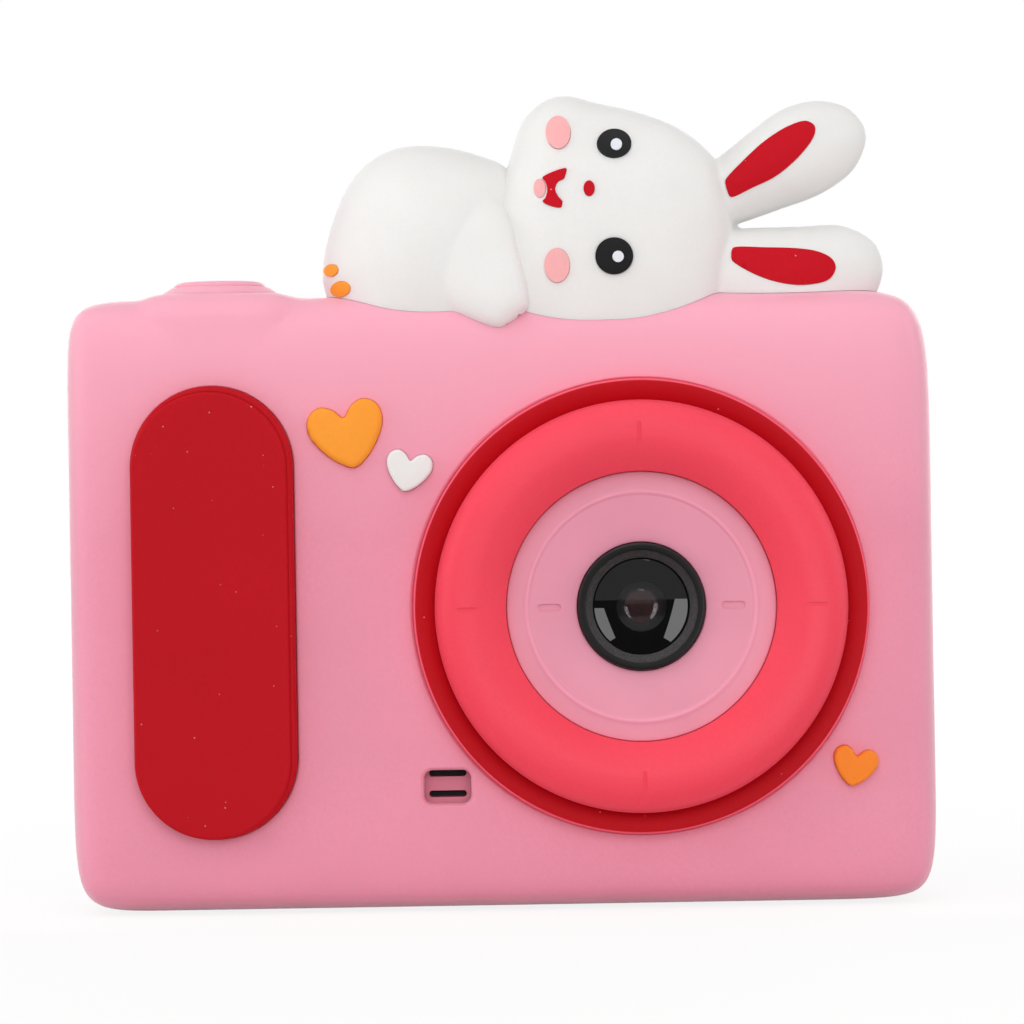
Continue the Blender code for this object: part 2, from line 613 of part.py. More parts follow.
def heart(width, middle, tilt):
    """A heart with round lobes and a round tip, leaning anticlockwise by tilt."""
    shape = [HEART_NOTCH, *HEART_SIDE, HEART_TIP] + [(-x, z) for x, z in reversed(HEART_SIDE)]
    turn = Matrix.Rotation(tilt, 2)
    points = []
    for x, z in smooth_outline(shape):
        turned_point = turn @ Vector((x * width, z * width * HEART_HEIGHT_SHARE))
        points.append((middle[0] + turned_point.x, middle[1] + turned_point.y))
    return points


def in_figure(points):
    """Rabbit outline points, drawn in millimetres, as places in the camera's frame."""
    return [(RABBIT_X + x * ACROSS, TOP_Z + z * MM) for x, z in points]


# Solids


def prism(outline, front, back):
    """The outline as a flat 2D curve, extruded from front to back and turned to face the lens side."""
    curve = bpy.data.curves.new("outline", "CURVE")
    curve.dimensions = "2D"
    curve.fill_mode = "BOTH"
    curve.extrude = (back - front) / 2
    spline = curve.splines.new("POLY")
    spline.points.add(len(outline) - 1)
    for point, (x, z) in zip(spline.points, outline):
        point.co = (x, z, 0.0, 1.0)
    spline.use_cyclic_u = True
    obj = bpy.data.objects.new("outline", curve)
    bpy.context.scene.collection.objects.link(obj)
    mesh = bpy.data.meshes.new_from_object(obj.evaluated_get(bpy.context.evaluated_depsgraph_get()))
    bpy.data.objects.remove(obj, do_unlink=True)
    bm = bmesh.new()
    bm.from_mesh(mesh)
    bpy.data.meshes.remove(mesh)
    bmesh.ops.remove_doubles(bm, verts=bm.verts, dist=MERGE_DISTANCE)
    bmesh.ops.dissolve_limit(bm, angle_limit=FLAT_ANGLE, verts=bm.verts, edges=bm.edges)
    bmesh.ops.transform(bm, matrix=Matrix.Translation((0, (front + back) / 2, 0)) @ FORWARD, verts=bm.verts)
    bmesh.ops.recalc_face_normals(bm, faces=bm.faces)
    return bm


def soften_rim(bm, y, radius, steps=SMALL_CORNER_STEPS):
    """Rounds the edges of a solid's outline that lie in the plane at y."""
    rim = [edge for edge in bm.edges if all(abs(vert.co.y - y) < MERGE_DISTANCE for vert in edge.verts)]
    round_edges(bm, rim, radius, steps)
    return bm


def round_edges(bm, edges, radius, steps):
    bmesh.ops.bevel(
        bm, geom=edges, offset=radius, offset_type="OFFSET", segments=steps, profile=0.5, affect="EDGES"
    )


def block(low, high):
    bm = bmesh.new()
    size = Vector(high) - Vector(low)
    middle = (Vector(low) + Vector(high)) / 2
    bmesh.ops.create_cube(bm, size=1.0, matrix=Matrix.Translation(middle) @ Matrix.Diagonal((*size, 1.0)))
    return bm


def rounded_block(low, high, corner, front, back):
    """A block with its edges along Y rounded by corner, and its front and back rims by front and back."""
    bm = block(low, high)
    along_y = [edge for edge in bm.edges if abs(edge.verts[0].co.y - edge.verts[1].co.y) > MERGE_DISTANCE]
    round_edges(bm, along_y, corner, CORNER_STEPS)
    if front:
        soften_rim(bm, low[1], front, CORNER_STEPS)
    if back:
        soften_rim(bm, high[1], back)
    return bm


def cylinder(start, end, radius, steps=SMALL_TURN_STEPS, end_radius=None):
    """A cylinder, or a cone where end_radius is given, from start to end."""
    bm = bmesh.new()
    axis = Vector(end) - Vector(start)
    turn = axis.to_track_quat("Z", "Y").to_matrix().to_4x4()
    bmesh.ops.create_cone(
        bm,
        cap_ends=True,
        segments=steps,
        radius1=radius,
        radius2=radius if end_radius is None else end_radius,
        depth=axis.length,
        matrix=Matrix.Translation((Vector(start) + Vector(end)) / 2) @ turn,
    )
    return bm


def turned(build, name, profile, finish, place, steps=TURN_STEPS, closed=True):
    """A turned piece from (radius, height) points that run down its outer side.

    A closed profile makes a ring, and an open one starts and ends on the axis."""
    bm = bmesh.new()
    verts = [bm.verts.new((radius, 0.0, height)) for radius, height in profile]
    for first, second in zip(verts, verts[1:] + (verts[:1] if closed else [])):
        bm.edges.new((first, second))
    obj = build.add(name, bm, finish, place)
    screw = obj.modifiers.new("turn", "SCREW")
    screw.axis = "Z"
    screw.steps = steps
    screw.render_steps = steps
    screw.use_merge_vertices = True
    screw.merge_threshold = MERGE_DISTANCE
    screw.use_smooth_shade = True
    return obj


def dome(radius, crown, edge):
    """Profile points of a shallow dome, from its top out to its rim at the height edge."""
    return [(radius * share, edge + crown * (1 - share**2)) for share in DOME_SHARES]


def on_lens_axis(y):
    return LENS_X, y, LENS_Z


def lens_place(y):
    """On the lens axis at y, with the turned piece's height pointing forward."""
    return Matrix.Translation(on_lens_axis(y)) @ FORWARD


def pillow(outline, middle_y, front, back, growth=0.0):
    """A swelling form with the given outline: a sphere whose spokes reach the outline at middle_y."""
    knots = np.array(grown(smooth_outline(outline, FIGURE_SPLINE_STEPS), growth))
    centre = (knots.min(axis=0) + knots.max(axis=0)) / 2
    loop = np.vstack([knots, knots[:1]]) - centre
    lengths = np.linalg.norm(np.diff(loop, axis=0), axis=1)
    along = np.concatenate([[0.0], np.cumsum(lengths)]) / lengths.sum()
    bm = bmesh.new()
    bmesh.ops.create_uvsphere(
        bm, u_segments=FIGURE_SPOKES, v_segments=FIGURE_RINGS, radius=1.0, matrix=FORWARD
    )
    power = 2 / RABBIT_ROUNDNESS
    for vert in bm.verts:
        turn = math.atan2(vert.co.z, vert.co.x) / (2 * math.pi) % 1.0
        spread = math.hypot(vert.co.x, vert.co.z) ** power
        depth = abs(vert.co.y) ** power * ((front if vert.co.y < 0 else back) + growth)
        vert.co = (
            centre[0] + spread * np.interp(turn, along, loop[:, 0]),
            middle_y + math.copysign(depth, vert.co.y),
            centre[1] + spread * np.interp(turn, along, loop[:, 1]),
        )
    bm.normal_update()
    bmesh.ops.recalc_face_normals(bm, faces=bm.faces)
    return bm


# The silicone sleeve and what is set into it


def sleeve_form(growth):
    """The sleeve's outer form, moved outwards by growth."""
    return rounded_block(
        (-HALF_WIDTH - growth, FRONT_Y - growth, -growth),
        (HALF_WIDTH + growth, BACK_Y + growth, TOP_Z + growth),
        SLEEVE_CORNER_RADIUS + growth,
        SLEEVE_FRONT_RADIUS + growth,
        SLEEVE_BACK_RADIUS + growth,
    )


def heart_outlines():
    sizes = {
        "heart_large": (LARGE_HEART_WIDTH, LARGE_HEART_GAP, LARGE_HEART_BEARING, LARGE_HEART_TILT),
        "heart_white": (WHITE_HEART_WIDTH, WHITE_HEART_GAP, WHITE_HEART_BEARING, WHITE_HEART_TILT),
        "heart_small": (SMALL_HEART_WIDTH, SMALL_HEART_GAP, SMALL_HEART_BEARING, SMALL_HEART_TILT),
    }
    outlines = {}
    for name, (width, gap, bearing, tilt) in sizes.items():
        outlines[name] = heart(width, from_lens(gap, bearing), tilt)
    return outlines


def from_lens(gap, bearing):
    """The point at a gap outside the collar's edge, on a bearing from the lens."""
    distance = COLLAR_RADIUS + gap
    return LENS_X + distance * math.cos(bearing), LENS_Z + distance * math.sin(bearing)


def turret_profile():
    return [
        (0.0, TURRET_TOP - TOP_Z),
        (SHUTTER_RADIUS + TURRET_RIM, TURRET_TOP - TOP_Z),
        ((SHUTTER_RADIUS + TURRET_RIM + TURRET_RADIUS) / 2, (TURRET_TOP - TOP_Z) * TURRET_SHOULDER_SHARE),
        (TURRET_RADIUS, 0.0),
        (TURRET_RADIUS, -TURRET_FOOT),
        (0.0, -TURRET_FOOT),
    ]


def make_sleeve(build):
    sleeve = build.add("silicone_sleeve", sleeve_form(0.0), "pink_silicone")
    # Half a facet of turn keeps the turret's edges off the corners of the shutter pocket
    place = Matrix.Translation((SHUTTER_X, SHUTTER_Y, TOP_Z)) @ Matrix.Rotation(math.pi / TURN_STEPS, 4, "Z")
    turret = turned(build, "turret_form", turret_profile(), None, place, closed=False)
    build.join(sleeve, turret)
    cavity = rounded_block(
        (-HALF_WIDTH + SLEEVE_WALL, FRONT_Y + SLEEVE_WALL, SLEEVE_WALL),
        (HALF_WIDTH - SLEEVE_WALL, BACK_Y - LIP_THICKNESS, TOP_Z - SLEEVE_WALL),
        SLEEVE_CORNER_RADIUS - SLEEVE_WALL,
        SLEEVE_FRONT_RADIUS - SLEEVE_WALL,
        CASE_BACK_RADIUS,
    )
    lip_opening = rounded_rectangle(
        2 * (PANEL_HALF_WIDTH + CLEARANCE),
        PANEL_TOP - PANEL_BOTTOM + 2 * CLEARANCE,
        PANEL_CORNER_RADIUS + CLEARANCE,
        (0.0, (PANEL_TOP + PANEL_BOTTOM) / 2),
    )
    speaker_x, speaker_z = from_lens(SPEAKER_GAP, SPEAKER_BEARING)
    speaker_window = rounded_rectangle(
        SPEAKER_WINDOW_WIDTH,
        SPEAKER_WINDOW_HEIGHT,
        SPEAKER_WINDOW_RADIUS,
        (speaker_x, speaker_z),
        SMALL_CORNER_STEPS,
    )
    outside = FRONT_Y - OVERCUT
    pocket_floor = FRONT_Y + POCKET_DEPTH
    through = FRONT_Y + SLEEVE_WALL + OVERCUT
    lens_front, lens_floor, lens_through = (on_lens_axis(y) for y in (outside, pocket_floor, through))
    shutter_column = [
        Vector((SHUTTER_X, SHUTTER_Y, z))
        for z in (TURRET_TOP + OVERCUT, SHUTTER_FLOOR, TOP_Z - SLEEVE_WALL - OVERCUT)
    ]
    cutters = {
        "cavity": cavity,
        "lip_opening": prism(lip_opening, BACK_Y - LIP_THICKNESS - OVERCUT, BACK_Y + OVERCUT),
        "grip_pocket": prism(grown(grip_outline(), CLEARANCE), outside, pocket_floor),
        "collar_pocket": cylinder(lens_front, lens_floor, COLLAR_RADIUS + CLEARANCE, TURN_STEPS),
        "lens_hole": cylinder(lens_front, lens_through, TUBE_RADIUS + CLEARANCE, TURN_STEPS),
        "speaker_window": prism(speaker_window, outside, through),
        "shutter_pocket": cylinder(
            shutter_column[0], shutter_column[1], SHUTTER_RADIUS + CLEARANCE, TURN_STEPS
        ),
        "shutter_hole": cylinder(shutter_column[0], shutter_column[2], STEM_RADIUS + CLEARANCE),
        "port_window": port_window(),
    }
    for name, outline in heart_outlines().items():
        cutters[name + "_pocket"] = prism(grown(outline, TRIM_GAP), outside, pocket_floor)
    for name, bm in cutters.items():
        build.cut(sleeve, build.add("sleeve_" + name, bm, None))


def port_window():
    """The window in the sleeve's side over the USB port and the card slot."""
    outline = rounded_rectangle(
        PORT_WINDOW_WIDTH, PORT_WINDOW_HIGH - PORT_WINDOW_LOW, PORT_WINDOW_RADIUS
    )
    bm = prism(outline, -SLEEVE_WALL - OVERCUT, SLEEVE_WALL + OVERCUT)
    place = Matrix.Translation((HALF_WIDTH, PORT_Y, (PORT_WINDOW_LOW + PORT_WINDOW_HIGH) / 2))
    bmesh.ops.transform(bm, matrix=place @ TO_PORT_SIDE, verts=bm.verts)
    return bm


def grip_outline():
    return rounded_rectangle(GRIP_WIDTH, GRIP_LENGTH, GRIP_WIDTH / 2, (GRIP_X, GRIP_Z), PILL_STEPS)


def make_grip(build):
    bm = prism(grip_outline(), FRONT_Y - GRIP_RISE, INLAY_SEAT)
    build.add("finger_grip", soften_rim(bm, FRONT_Y - GRIP_RISE, GRIP_EDGE_RADIUS), "red_silicone")


def make_hearts(build):
    for name, outline in heart_outlines().items():
        finish = "white_silicone" if name == "heart_white" else "orange_silicone"
        bm = prism(outline, FRONT_Y - HEART_RISE, INLAY_SEAT)
        build.add(name, soften_rim(bm, FRONT_Y - HEART_RISE, HEART_EDGE_RADIUS), finish)


# The lens stack


def make_collar_and_ring(build):
    bore = TUBE_RADIUS + CLEARANCE
    collar_height = INLAY_SEAT - COLLAR_FRONT
    collar = [
        (COLLAR_RADIUS - COLLAR_EDGE, collar_height),
        (COLLAR_RADIUS, collar_height - COLLAR_EDGE),
        (COLLAR_RADIUS, 0.0),
        (bore, 0.0),
        (bore, collar_height),
    ]
    turned(build, "lens_collar", collar, "red_silicone", lens_place(INLAY_SEAT))
    middle = (RING_OUTER_RADIUS + RING_INNER_RADIUS) / 2
    half = (RING_OUTER_RADIUS - RING_INNER_RADIUS) / 2
    ring = []
    for step in reversed(range(RING_STEPS + 1)):
        angle = math.pi * (1 - step / RING_STEPS)
        across = math.copysign(abs(math.cos(angle)) ** RING_SIDE_POWER, math.cos(angle))
        ring.append((middle - half * across, RING_HEIGHT * math.sin(angle) ** RING_CROWN_POWER))
    turned(build, "lens_ring", ring, "coral_silicone", lens_place(RING_BASE))


def make_lens_face(build):
    bore = BARREL_RADIUS + CLEARANCE
    groove_out = FACE_GROOVE_RADIUS + FACE_GROOVE_WIDTH / 2
    groove_in = FACE_GROOVE_RADIUS - FACE_GROOVE_WIDTH / 2
    face = [
        (groove_out, FACE_THICKNESS),
        (TUBE_RADIUS, FACE_THICKNESS),
        (TUBE_RADIUS, 0.0),
        (bore, 0.0),
        (bore, FACE_THICKNESS),
        (groove_in, FACE_THICKNESS),
        (FACE_GROOVE_RADIUS, FACE_THICKNESS - FACE_GROOVE_DEPTH),
    ]
    turned(build, "lens_face", face, "pink_plastic", lens_place(FACE_BACK))


def make_barrel(build):
    length = BARREL_BACK - BARREL_FRONT
    flange_top = BARREL_BACK - TUBE_FRONT
    flange_bottom = flange_top - BARREL_FLANGE_THICKNESS
    ledge_top = BARREL_BACK - LEDGE_FRONT
    barrel = [
        (BARREL_RADIUS - BARREL_RIM, length),
        (BARREL_RADIUS, length),
        (BARREL_RADIUS, flange_top),
        (BARREL_FLANGE_RADIUS, flange_top),
        (BARREL_FLANGE_RADIUS, flange_bottom),
        (BARREL_RADIUS, flange_bottom),
        (BARREL_RADIUS, 0.0),
        (LEDGE_RADIUS, 0.0),
        (LEDGE_RADIUS, ledge_top),
        (BARREL_BORE, ledge_top),
        (BARREL_BORE, length - BARREL_CHAMFER),
    ]
    turned(build, "lens_barrel", barrel, "black_plastic", lens_place(BARREL_BACK))
    glass = dome(GLASS_RADIUS, GLASS_CROWN, GLASS_THICKNESS - GLASS_CROWN)
    glass += [(GLASS_RADIUS, 0.0), (0.0, 0.0)]
    turned(build, "lens_glass", glass, "clear_glass", lens_place(GLASS_BACK), closed=False)


def make_lens_module(build):
    element = dome(ELEMENT_RADIUS, ELEMENT_CROWN, ELEMENT_EDGE) + [(ELEMENT_RADIUS, 0.0), (0.0, 0.0)]
    element_place = lens_place(MODULE_FRONT - CLEARANCE)
    turned(build, "lens_element", element, "clear_glass", element_place, SMALL_TURN_STEPS, False)
    module = [
        (0.0, MODULE_BACK - MODULE_FRONT),
        (MODULE_RADIUS, MODULE_BACK - MODULE_FRONT),
        (MODULE_RADIUS, MODULE_FLANGE_THICKNESS),
        (MODULE_FLANGE_RADIUS, MODULE_FLANGE_THICKNESS),
        (MODULE_FLANGE_RADIUS, 0.0),
        (0.0, 0.0),
    ]
    turned(build, "lens_module", module, "black_plastic", lens_place(MODULE_BACK), SMALL_TURN_STEPS, False)
    half = SENSOR_BOARD_SIDE / 2
    board = block((LENS_X - half, SENSOR_FRONT, LENS_Z - half), (LENS_X + half, SENSOR_BACK, LENS_Z + half))
    build.add("sensor_board", board, "circuit_board")
    make_sensor_flex(build)


def make_sensor_flex(build):
    """A ribbon from the back of the sensor board down and back to the main board."""
    start_y = SENSOR_BACK + CLEARANCE
    end_y = BOARD_FRONT - CLEARANCE - FLEX_THICKNESS
    fold_z = LENS_Z - FLEX_DROP
    bend = FLEX_TAIL / 2
    path = [
        (start_y, LENS_Z),
        (start_y, fold_z + bend),
        (start_y + bend, fold_z),
        (end_y - bend, fold_z),
        (end_y, fold_z - bend),
        (end_y, fold_z - FLEX_TAIL),
    ]
    bm = bmesh.new()
    sides = []
    for x in (LENS_X - FLEX_WIDTH / 2, LENS_X + FLEX_WIDTH / 2):
        sides.append([bm.verts.new((x, y, z)) for y, z in path])
    for i in range(len(path) - 1):
        bm.faces.new((sides[0][i], sides[1][i], sides[1][i + 1], sides[0][i + 1]))
    flex = build.add("sensor_flex", bm, "flex_film")
    solidify = flex.modifiers.new("thickness", "SOLIDIFY")
    solidify.thickness = FLEX_THICKNESS
    solidify.offset = -1.0
    solidify.use_even_offset = True


# The hard case


def make_front_shell(build):
    shell = build.add(
        "front_shell",
        rounded_block(
            (-CASE_HALF_WIDTH, CASE_FRONT, CASE_BOTTOM),
            (CASE_HALF_WIDTH, PART_LINE - CLEARANCE / 2, CASE_TOP),
            CASE_CORNER_RADIUS,
            CASE_FRONT_RADIUS,
            0.0,
        ),
        "pink_plastic",
    )
    cavity = rounded_block(
        (-INNER_HALF_WIDTH, INNER_FRONT, INNER_BOTTOM),
        (INNER_HALF_WIDTH, PART_LINE + OVERCUT, INNER_TOP),
        CASE_CORNER_RADIUS - CASE_WALL,
        CASE_FRONT_RADIUS - CASE_WALL,
        0.0,
    )
    build.cut(shell, build.add("front_shell_cavity", cavity, None))
    in_wall = INNER_FRONT - CASE_WALL / 2
    speaker_x, speaker_z = from_lens(SPEAKER_GAP, SPEAKER_BEARING)
    fence_radius = SPEAKER_RADIUS + CLEARANCE + FENCE_WALL
    fence = cylinder(
        (speaker_x, in_wall, speaker_z), (speaker_x, INNER_FRONT + FENCE_HEIGHT, speaker_z), fence_radius
    )
    shelf_half = SHUTTER_BOARD_WIDTH / 2 + SHELF_OVERHANG
    shelf = block(
        (SHUTTER_X - shelf_half, in_wall, SHELF_TOP - SHELF_THICKNESS),
        (SHUTTER_X + shelf_half, INNER_FRONT + SHELF_REACH, SHELF_TOP),
    )
    added = {
        "lens_tube": cylinder(on_lens_axis(TUBE_FRONT), on_lens_axis(in_wall), TUBE_RADIUS, TURN_STEPS),
        "speaker_fence": fence,
        "shutter_shelf": shelf,
    }
    boss_end = BOARD_FRONT - CLEARANCE
    for i, (x, z) in enumerate(SCREW_SPOTS, 1):
        added[f"boss_{i}"] = cylinder((x, in_wall, z), (x, boss_end, z), BOSS_RADIUS)
    for name, bm in added.items():
        build.join(shell, build.add("front_shell_" + name, bm, None))
    removed = {
        "lens_bore": cylinder(
            on_lens_axis(TUBE_FRONT - OVERCUT), on_lens_axis(INNER_FRONT + OVERCUT), TUBE_BORE, TURN_STEPS
        ),
        "speaker_seat": cylinder(
            (speaker_x, INNER_FRONT, speaker_z),
            (speaker_x, INNER_FRONT + FENCE_HEIGHT + OVERCUT, speaker_z),
            SPEAKER_RADIUS + CLEARANCE,
        ),
        "shutter_hole": cylinder(
            (SHUTTER_X, SHUTTER_Y, INNER_TOP - OVERCUT),
            (SHUTTER_X, SHUTTER_Y, CASE_TOP + OVERCUT),
            STEM_RADIUS + CLEARANCE,
        ),
        "usb_opening": side_opening(USB_HEIGHT, USB_WIDTH, USB_HEIGHT / 2, PORT_Y, USB_Z),
        "card_slot": side_opening(CARD_THICKNESS, CARD_WIDTH, CARD_THICKNESS / 4, CARD_Y, CARD_Z),
    }
    for i, (x, z) in enumerate(SCREW_SPOTS, 1):
        start = (x, SCREW_TIP - CLEARANCE, z)
        removed[f"pilot_{i}"] = cylinder(start, (x, boss_end + OVERCUT, z), SCREW_HOLE)
    for i, side in enumerate((1, -1), 1):
        slot_z = speaker_z + side * SPEAKER_SLOT_SPACING / 2
        slot = rounded_rectangle(
            SPEAKER_SLOT_LENGTH,
            SPEAKER_SLOT_WIDTH,
            SPEAKER_SLOT_WIDTH / 4,
            (speaker_x, slot_z),
            SMALL_CORNER_STEPS,
        )
        removed[f"speaker_slot_{i}"] = prism(slot, CASE_FRONT - OVERCUT, INNER_FRONT + OVERCUT)
    for name, bm in removed.items():
        build.cut(shell, build.add("front_shell_" + name, bm, None))


def side_opening(height, width, radius, y, z):
    """An opening through the case's +X wall, a clearance larger than what goes through it."""
    outline = rounded_rectangle(
        height + 2 * CLEARANCE, width + 2 * CLEARANCE, radius + CLEARANCE, steps=SMALL_CORNER_STEPS
    )
    bm = prism(outline, -CASE_WALL, CASE_WALL)
    place = Matrix.Translation((CASE_HALF_WIDTH - CASE_WALL / 2, y, z))
    bmesh.ops.transform(bm, matrix=place @ TO_PORT_SIDE, verts=bm.verts)
    return bm


def make_rear_shell(build):
    shell = build.add(
        "rear_shell",
        rounded_block(
            (-CASE_HALF_WIDTH, PART_LINE + CLEARANCE / 2, CASE_BOTTOM),
            (CASE_HALF_WIDTH, CASE_BACK, CASE_TOP),
            CASE_CORNER_RADIUS,
            0.0,
            CASE_BACK_RADIUS,
        ),
        "pink_plastic",
    )
    panel_middle = (0.0, (PANEL_TOP + PANEL_BOTTOM) / 2)
    panel_width, panel_height = 2 * PANEL_HALF_WIDTH, PANEL_TOP - PANEL_BOTTOM
    panel = rounded_rectangle(panel_width, panel_height, PANEL_CORNER_RADIUS, panel_middle)
    build.join(shell, build.add("rear_shell_panel", prism(panel, PANEL_INNER, PANEL_OUTER), None))
    cavity = rounded_block(
        (-INNER_HALF_WIDTH, PART_LINE - OVERCUT, INNER_BOTTOM),
        (INNER_HALF_WIDTH, CASE_BACK - CASE_WALL, INNER_TOP),
        CASE_CORNER_RADIUS - CASE_WALL,
        0.0,
        0.0,
    )
    build.cut(shell, build.add("rear_shell_cavity", cavity, None))
    panel_floor = rounded_rectangle(
        panel_width - 2 * CASE_WALL,
        panel_height - 2 * CASE_WALL,
        PANEL_CORNER_RADIUS - CASE_WALL,
        panel_middle,
    )
    floor = prism(panel_floor, CASE_BACK - CASE_WALL - OVERCUT, PANEL_INNER)
    build.cut(shell, build.add("rear_shell_panel_floor", floor, None))
    tube_end = BOARD_BACK + CLEARANCE
    for i, (x, z) in enumerate(SCREW_SPOTS, 1):
        tube = cylinder((x, tube_end, z), (x, PANEL_INNER + PANEL_THICKNESS / 4, z), BOSS_RADIUS)
        build.join(shell, build.add(f"rear_shell_tube_{i}", tube, None))
    window_recess = rounded_rectangle(
        WINDOW_WIDTH + 2 * CLEARANCE,
        WINDOW_HEIGHT + 2 * CLEARANCE,
        WINDOW_CORNER_RADIUS + CLEARANCE,
        (WINDOW_X, MIDDLE_Z),
    )
    window_opening = rounded_rectangle(
        WINDOW_WIDTH - 2 * WINDOW_LEDGE,
        WINDOW_HEIGHT - 2 * WINDOW_LEDGE,
        WINDOW_CORNER_RADIUS,
        (WINDOW_X, MIDDLE_Z),
    )
    removed = {
        "window_recess": prism(window_recess, WINDOW_FRONT - CLEARANCE, PANEL_OUTER + OVERCUT),
        "window_opening": prism(window_opening, PANEL_INNER - OVERCUT, PANEL_OUTER + OVERCUT),
    }
    for name, radius, x, z in KEYS:
        removed[name + "_hole"] = cylinder(
            (x, PANEL_INNER - OVERCUT, z), (x, PANEL_OUTER + OVERCUT, z), radius + CLEARANCE
        )
    for i, (x, z) in enumerate(SCREW_SPOTS, 1):
        removed[f"head_seat_{i}"] = cylinder(
            (x, SCREW_SEAT, z), (x, PANEL_OUTER + OVERCUT, z), SCREW_HEAD_RADIUS + CLEARANCE
        )
        removed[f"screw_hole_{i}"] = cylinder(
            (x, tube_end - OVERCUT, z), (x, PANEL_OUTER + OVERCUT, z), SCREW_HOLE
        )
    for name, bm in removed.items():
        build.cut(shell, build.add("rear_shell_" + name, bm, None))


def make_screws(build):
    length = SCREW_LENGTH + SCREW_HEAD_HEIGHT
    profile = [
        (0.0, length),
        (SCREW_HEAD_RADIUS - SCREW_HEAD_EDGE, length),
        (SCREW_HEAD_RADIUS, length - SCREW_HEAD_EDGE),
        (SCREW_HEAD_RADIUS, SCREW_LENGTH),
        (SCREW_RADIUS, SCREW_LENGTH),
        (SCREW_RADIUS, SCREW_RADIUS),
        (0.0, 0.0),
    ]
    for i, (x, z) in enumerate(SCREW_SPOTS, 1):
        place = Matrix.Translation((x, SCREW_TIP, z)) @ BACKWARD
        turned(build, f"case_screw_{i}", profile, "steel", place, SMALL_TURN_STEPS, False)


# What the case holds


def make_boards_and_screen(build):
    board = rounded_rectangle(
        2 * (INNER_HALF_WIDTH - BOARD_MARGIN),
        INNER_TOP - INNER_BOTTOM - 2 * BOARD_MARGIN,
        BOARD_CORNER_RADIUS,
        (0.0, (INNER_TOP + INNER_BOTTOM) / 2),
    )
    main_board = build.add("main_board", prism(board, BOARD_FRONT, BOARD_BACK), "circuit_board")
    for i, (x, z) in enumerate(SCREW_SPOTS, 1):
        hole = cylinder((x, BOARD_FRONT - OVERCUT, z), (x, BOARD_BACK + OVERCUT, z), SCREW_HOLE)
        build.cut(main_board, build.add(f"main_board_hole_{i}", hole, None))
    chip_back = BOARD_FRONT - CLEARANCE
    chip_half = CHIP_SIDE / 2
    chip_z = MIDDLE_Z - CHIP_DROP
    chip = block(
        (-chip_half, chip_back - CHIP_THICKNESS, chip_z - chip_half),
        (chip_half, chip_back, chip_z + chip_half),
    )
    build.add("main_chip", chip, "black_plastic")
    half_width, half_height = LCD_WIDTH / 2, LCD_HEIGHT / 2
    lcd = block(
        (WINDOW_X - half_width, LCD_FRONT, MIDDLE_Z - half_height),
        (WINDOW_X + half_width, LCD_BACK, MIDDLE_Z + half_height),
    )
    build.add("lcd_panel", lcd, "black_plastic")
    foam = block(
        (WINDOW_X - half_width + FOAM_INSET, FOAM_FRONT, MIDDLE_Z - half_height + FOAM_INSET),
        (WINDOW_X + half_width - FOAM_INSET, FOAM_BACK, MIDDLE_Z + half_height - FOAM_INSET),
    )
    build.add("lcd_foam", foam, "foam")
    window = rounded_rectangle(WINDOW_WIDTH, WINDOW_HEIGHT, WINDOW_CORNER_RADIUS, (WINDOW_X, MIDDLE_Z))
    build.add("screen_window", prism(window, WINDOW_FRONT, WINDOW_BACK), "clear_glass")


def make_battery(build):
    battery = block(
        (BATTERY_LEFT, BATTERY_FRONT, BATTERY_BOTTOM),
        (BATTERY_RIGHT, BATTERY_FRONT + BATTERY_THICKNESS, BATTERY_TOP),
    )
    round_edges(battery, battery.edges[:], BATTERY_EDGE, SMALL_CORNER_STEPS)
    build.add("battery", battery, "battery_foil")
    plug = block(
        (LEAD_X - PLUG_WIDTH / 2, PLUG_FRONT, PLUG_Z),
        (LEAD_X + PLUG_WIDTH / 2, PLUG_BACK, PLUG_Z + PLUG_HEIGHT),
    )
    build.add("battery_plug", plug, "white_plastic")
    start_y = BATTERY_FRONT + BATTERY_THICKNESS / 2
    lead_z = PLUG_Z + PLUG_HEIGHT / 2
    route = [
        (LEAD_X, start_y, BATTERY_TOP + CLEARANCE),
        (LEAD_X, start_y, BATTERY_TOP + LEAD_RISE),
        (LEAD_X, start_y + LEAD_RISE, lead_z),
        (LEAD_X, PLUG_FRONT - CLEARANCE, lead_z),
    ]
    curve = bpy.data.curves.new("battery_lead", "CURVE")
    curve.dimensions = "3D"
    curve.bevel_depth = LEAD_RADIUS
    curve.bevel_resolution = 1
    curve.use_fill_caps = True
    spline = curve.splines.new("POLY")
    spline.points.add(len(route) - 1)
    for point, place in zip(spline.points, route):
        point.co = (*place, 1.0)
    lead = bpy.data.objects.new("battery_lead", curve)
    build.parts.objects.link(lead)
    lead.parent = build.root
    curve.materials.append(new_material("battery_lead", "lead_rubber"))


def make_speaker(build):
    speaker_x, speaker_z = from_lens(SPEAKER_GAP, SPEAKER_BEARING)
    start = INNER_FRONT + CLEARANCE
    speaker = cylinder(
        (speaker_x, start, speaker_z), (speaker_x, start + SPEAKER_THICKNESS, speaker_z), SPEAKER_RADIUS
    )
    build.add("speaker", speaker, "black_plastic")


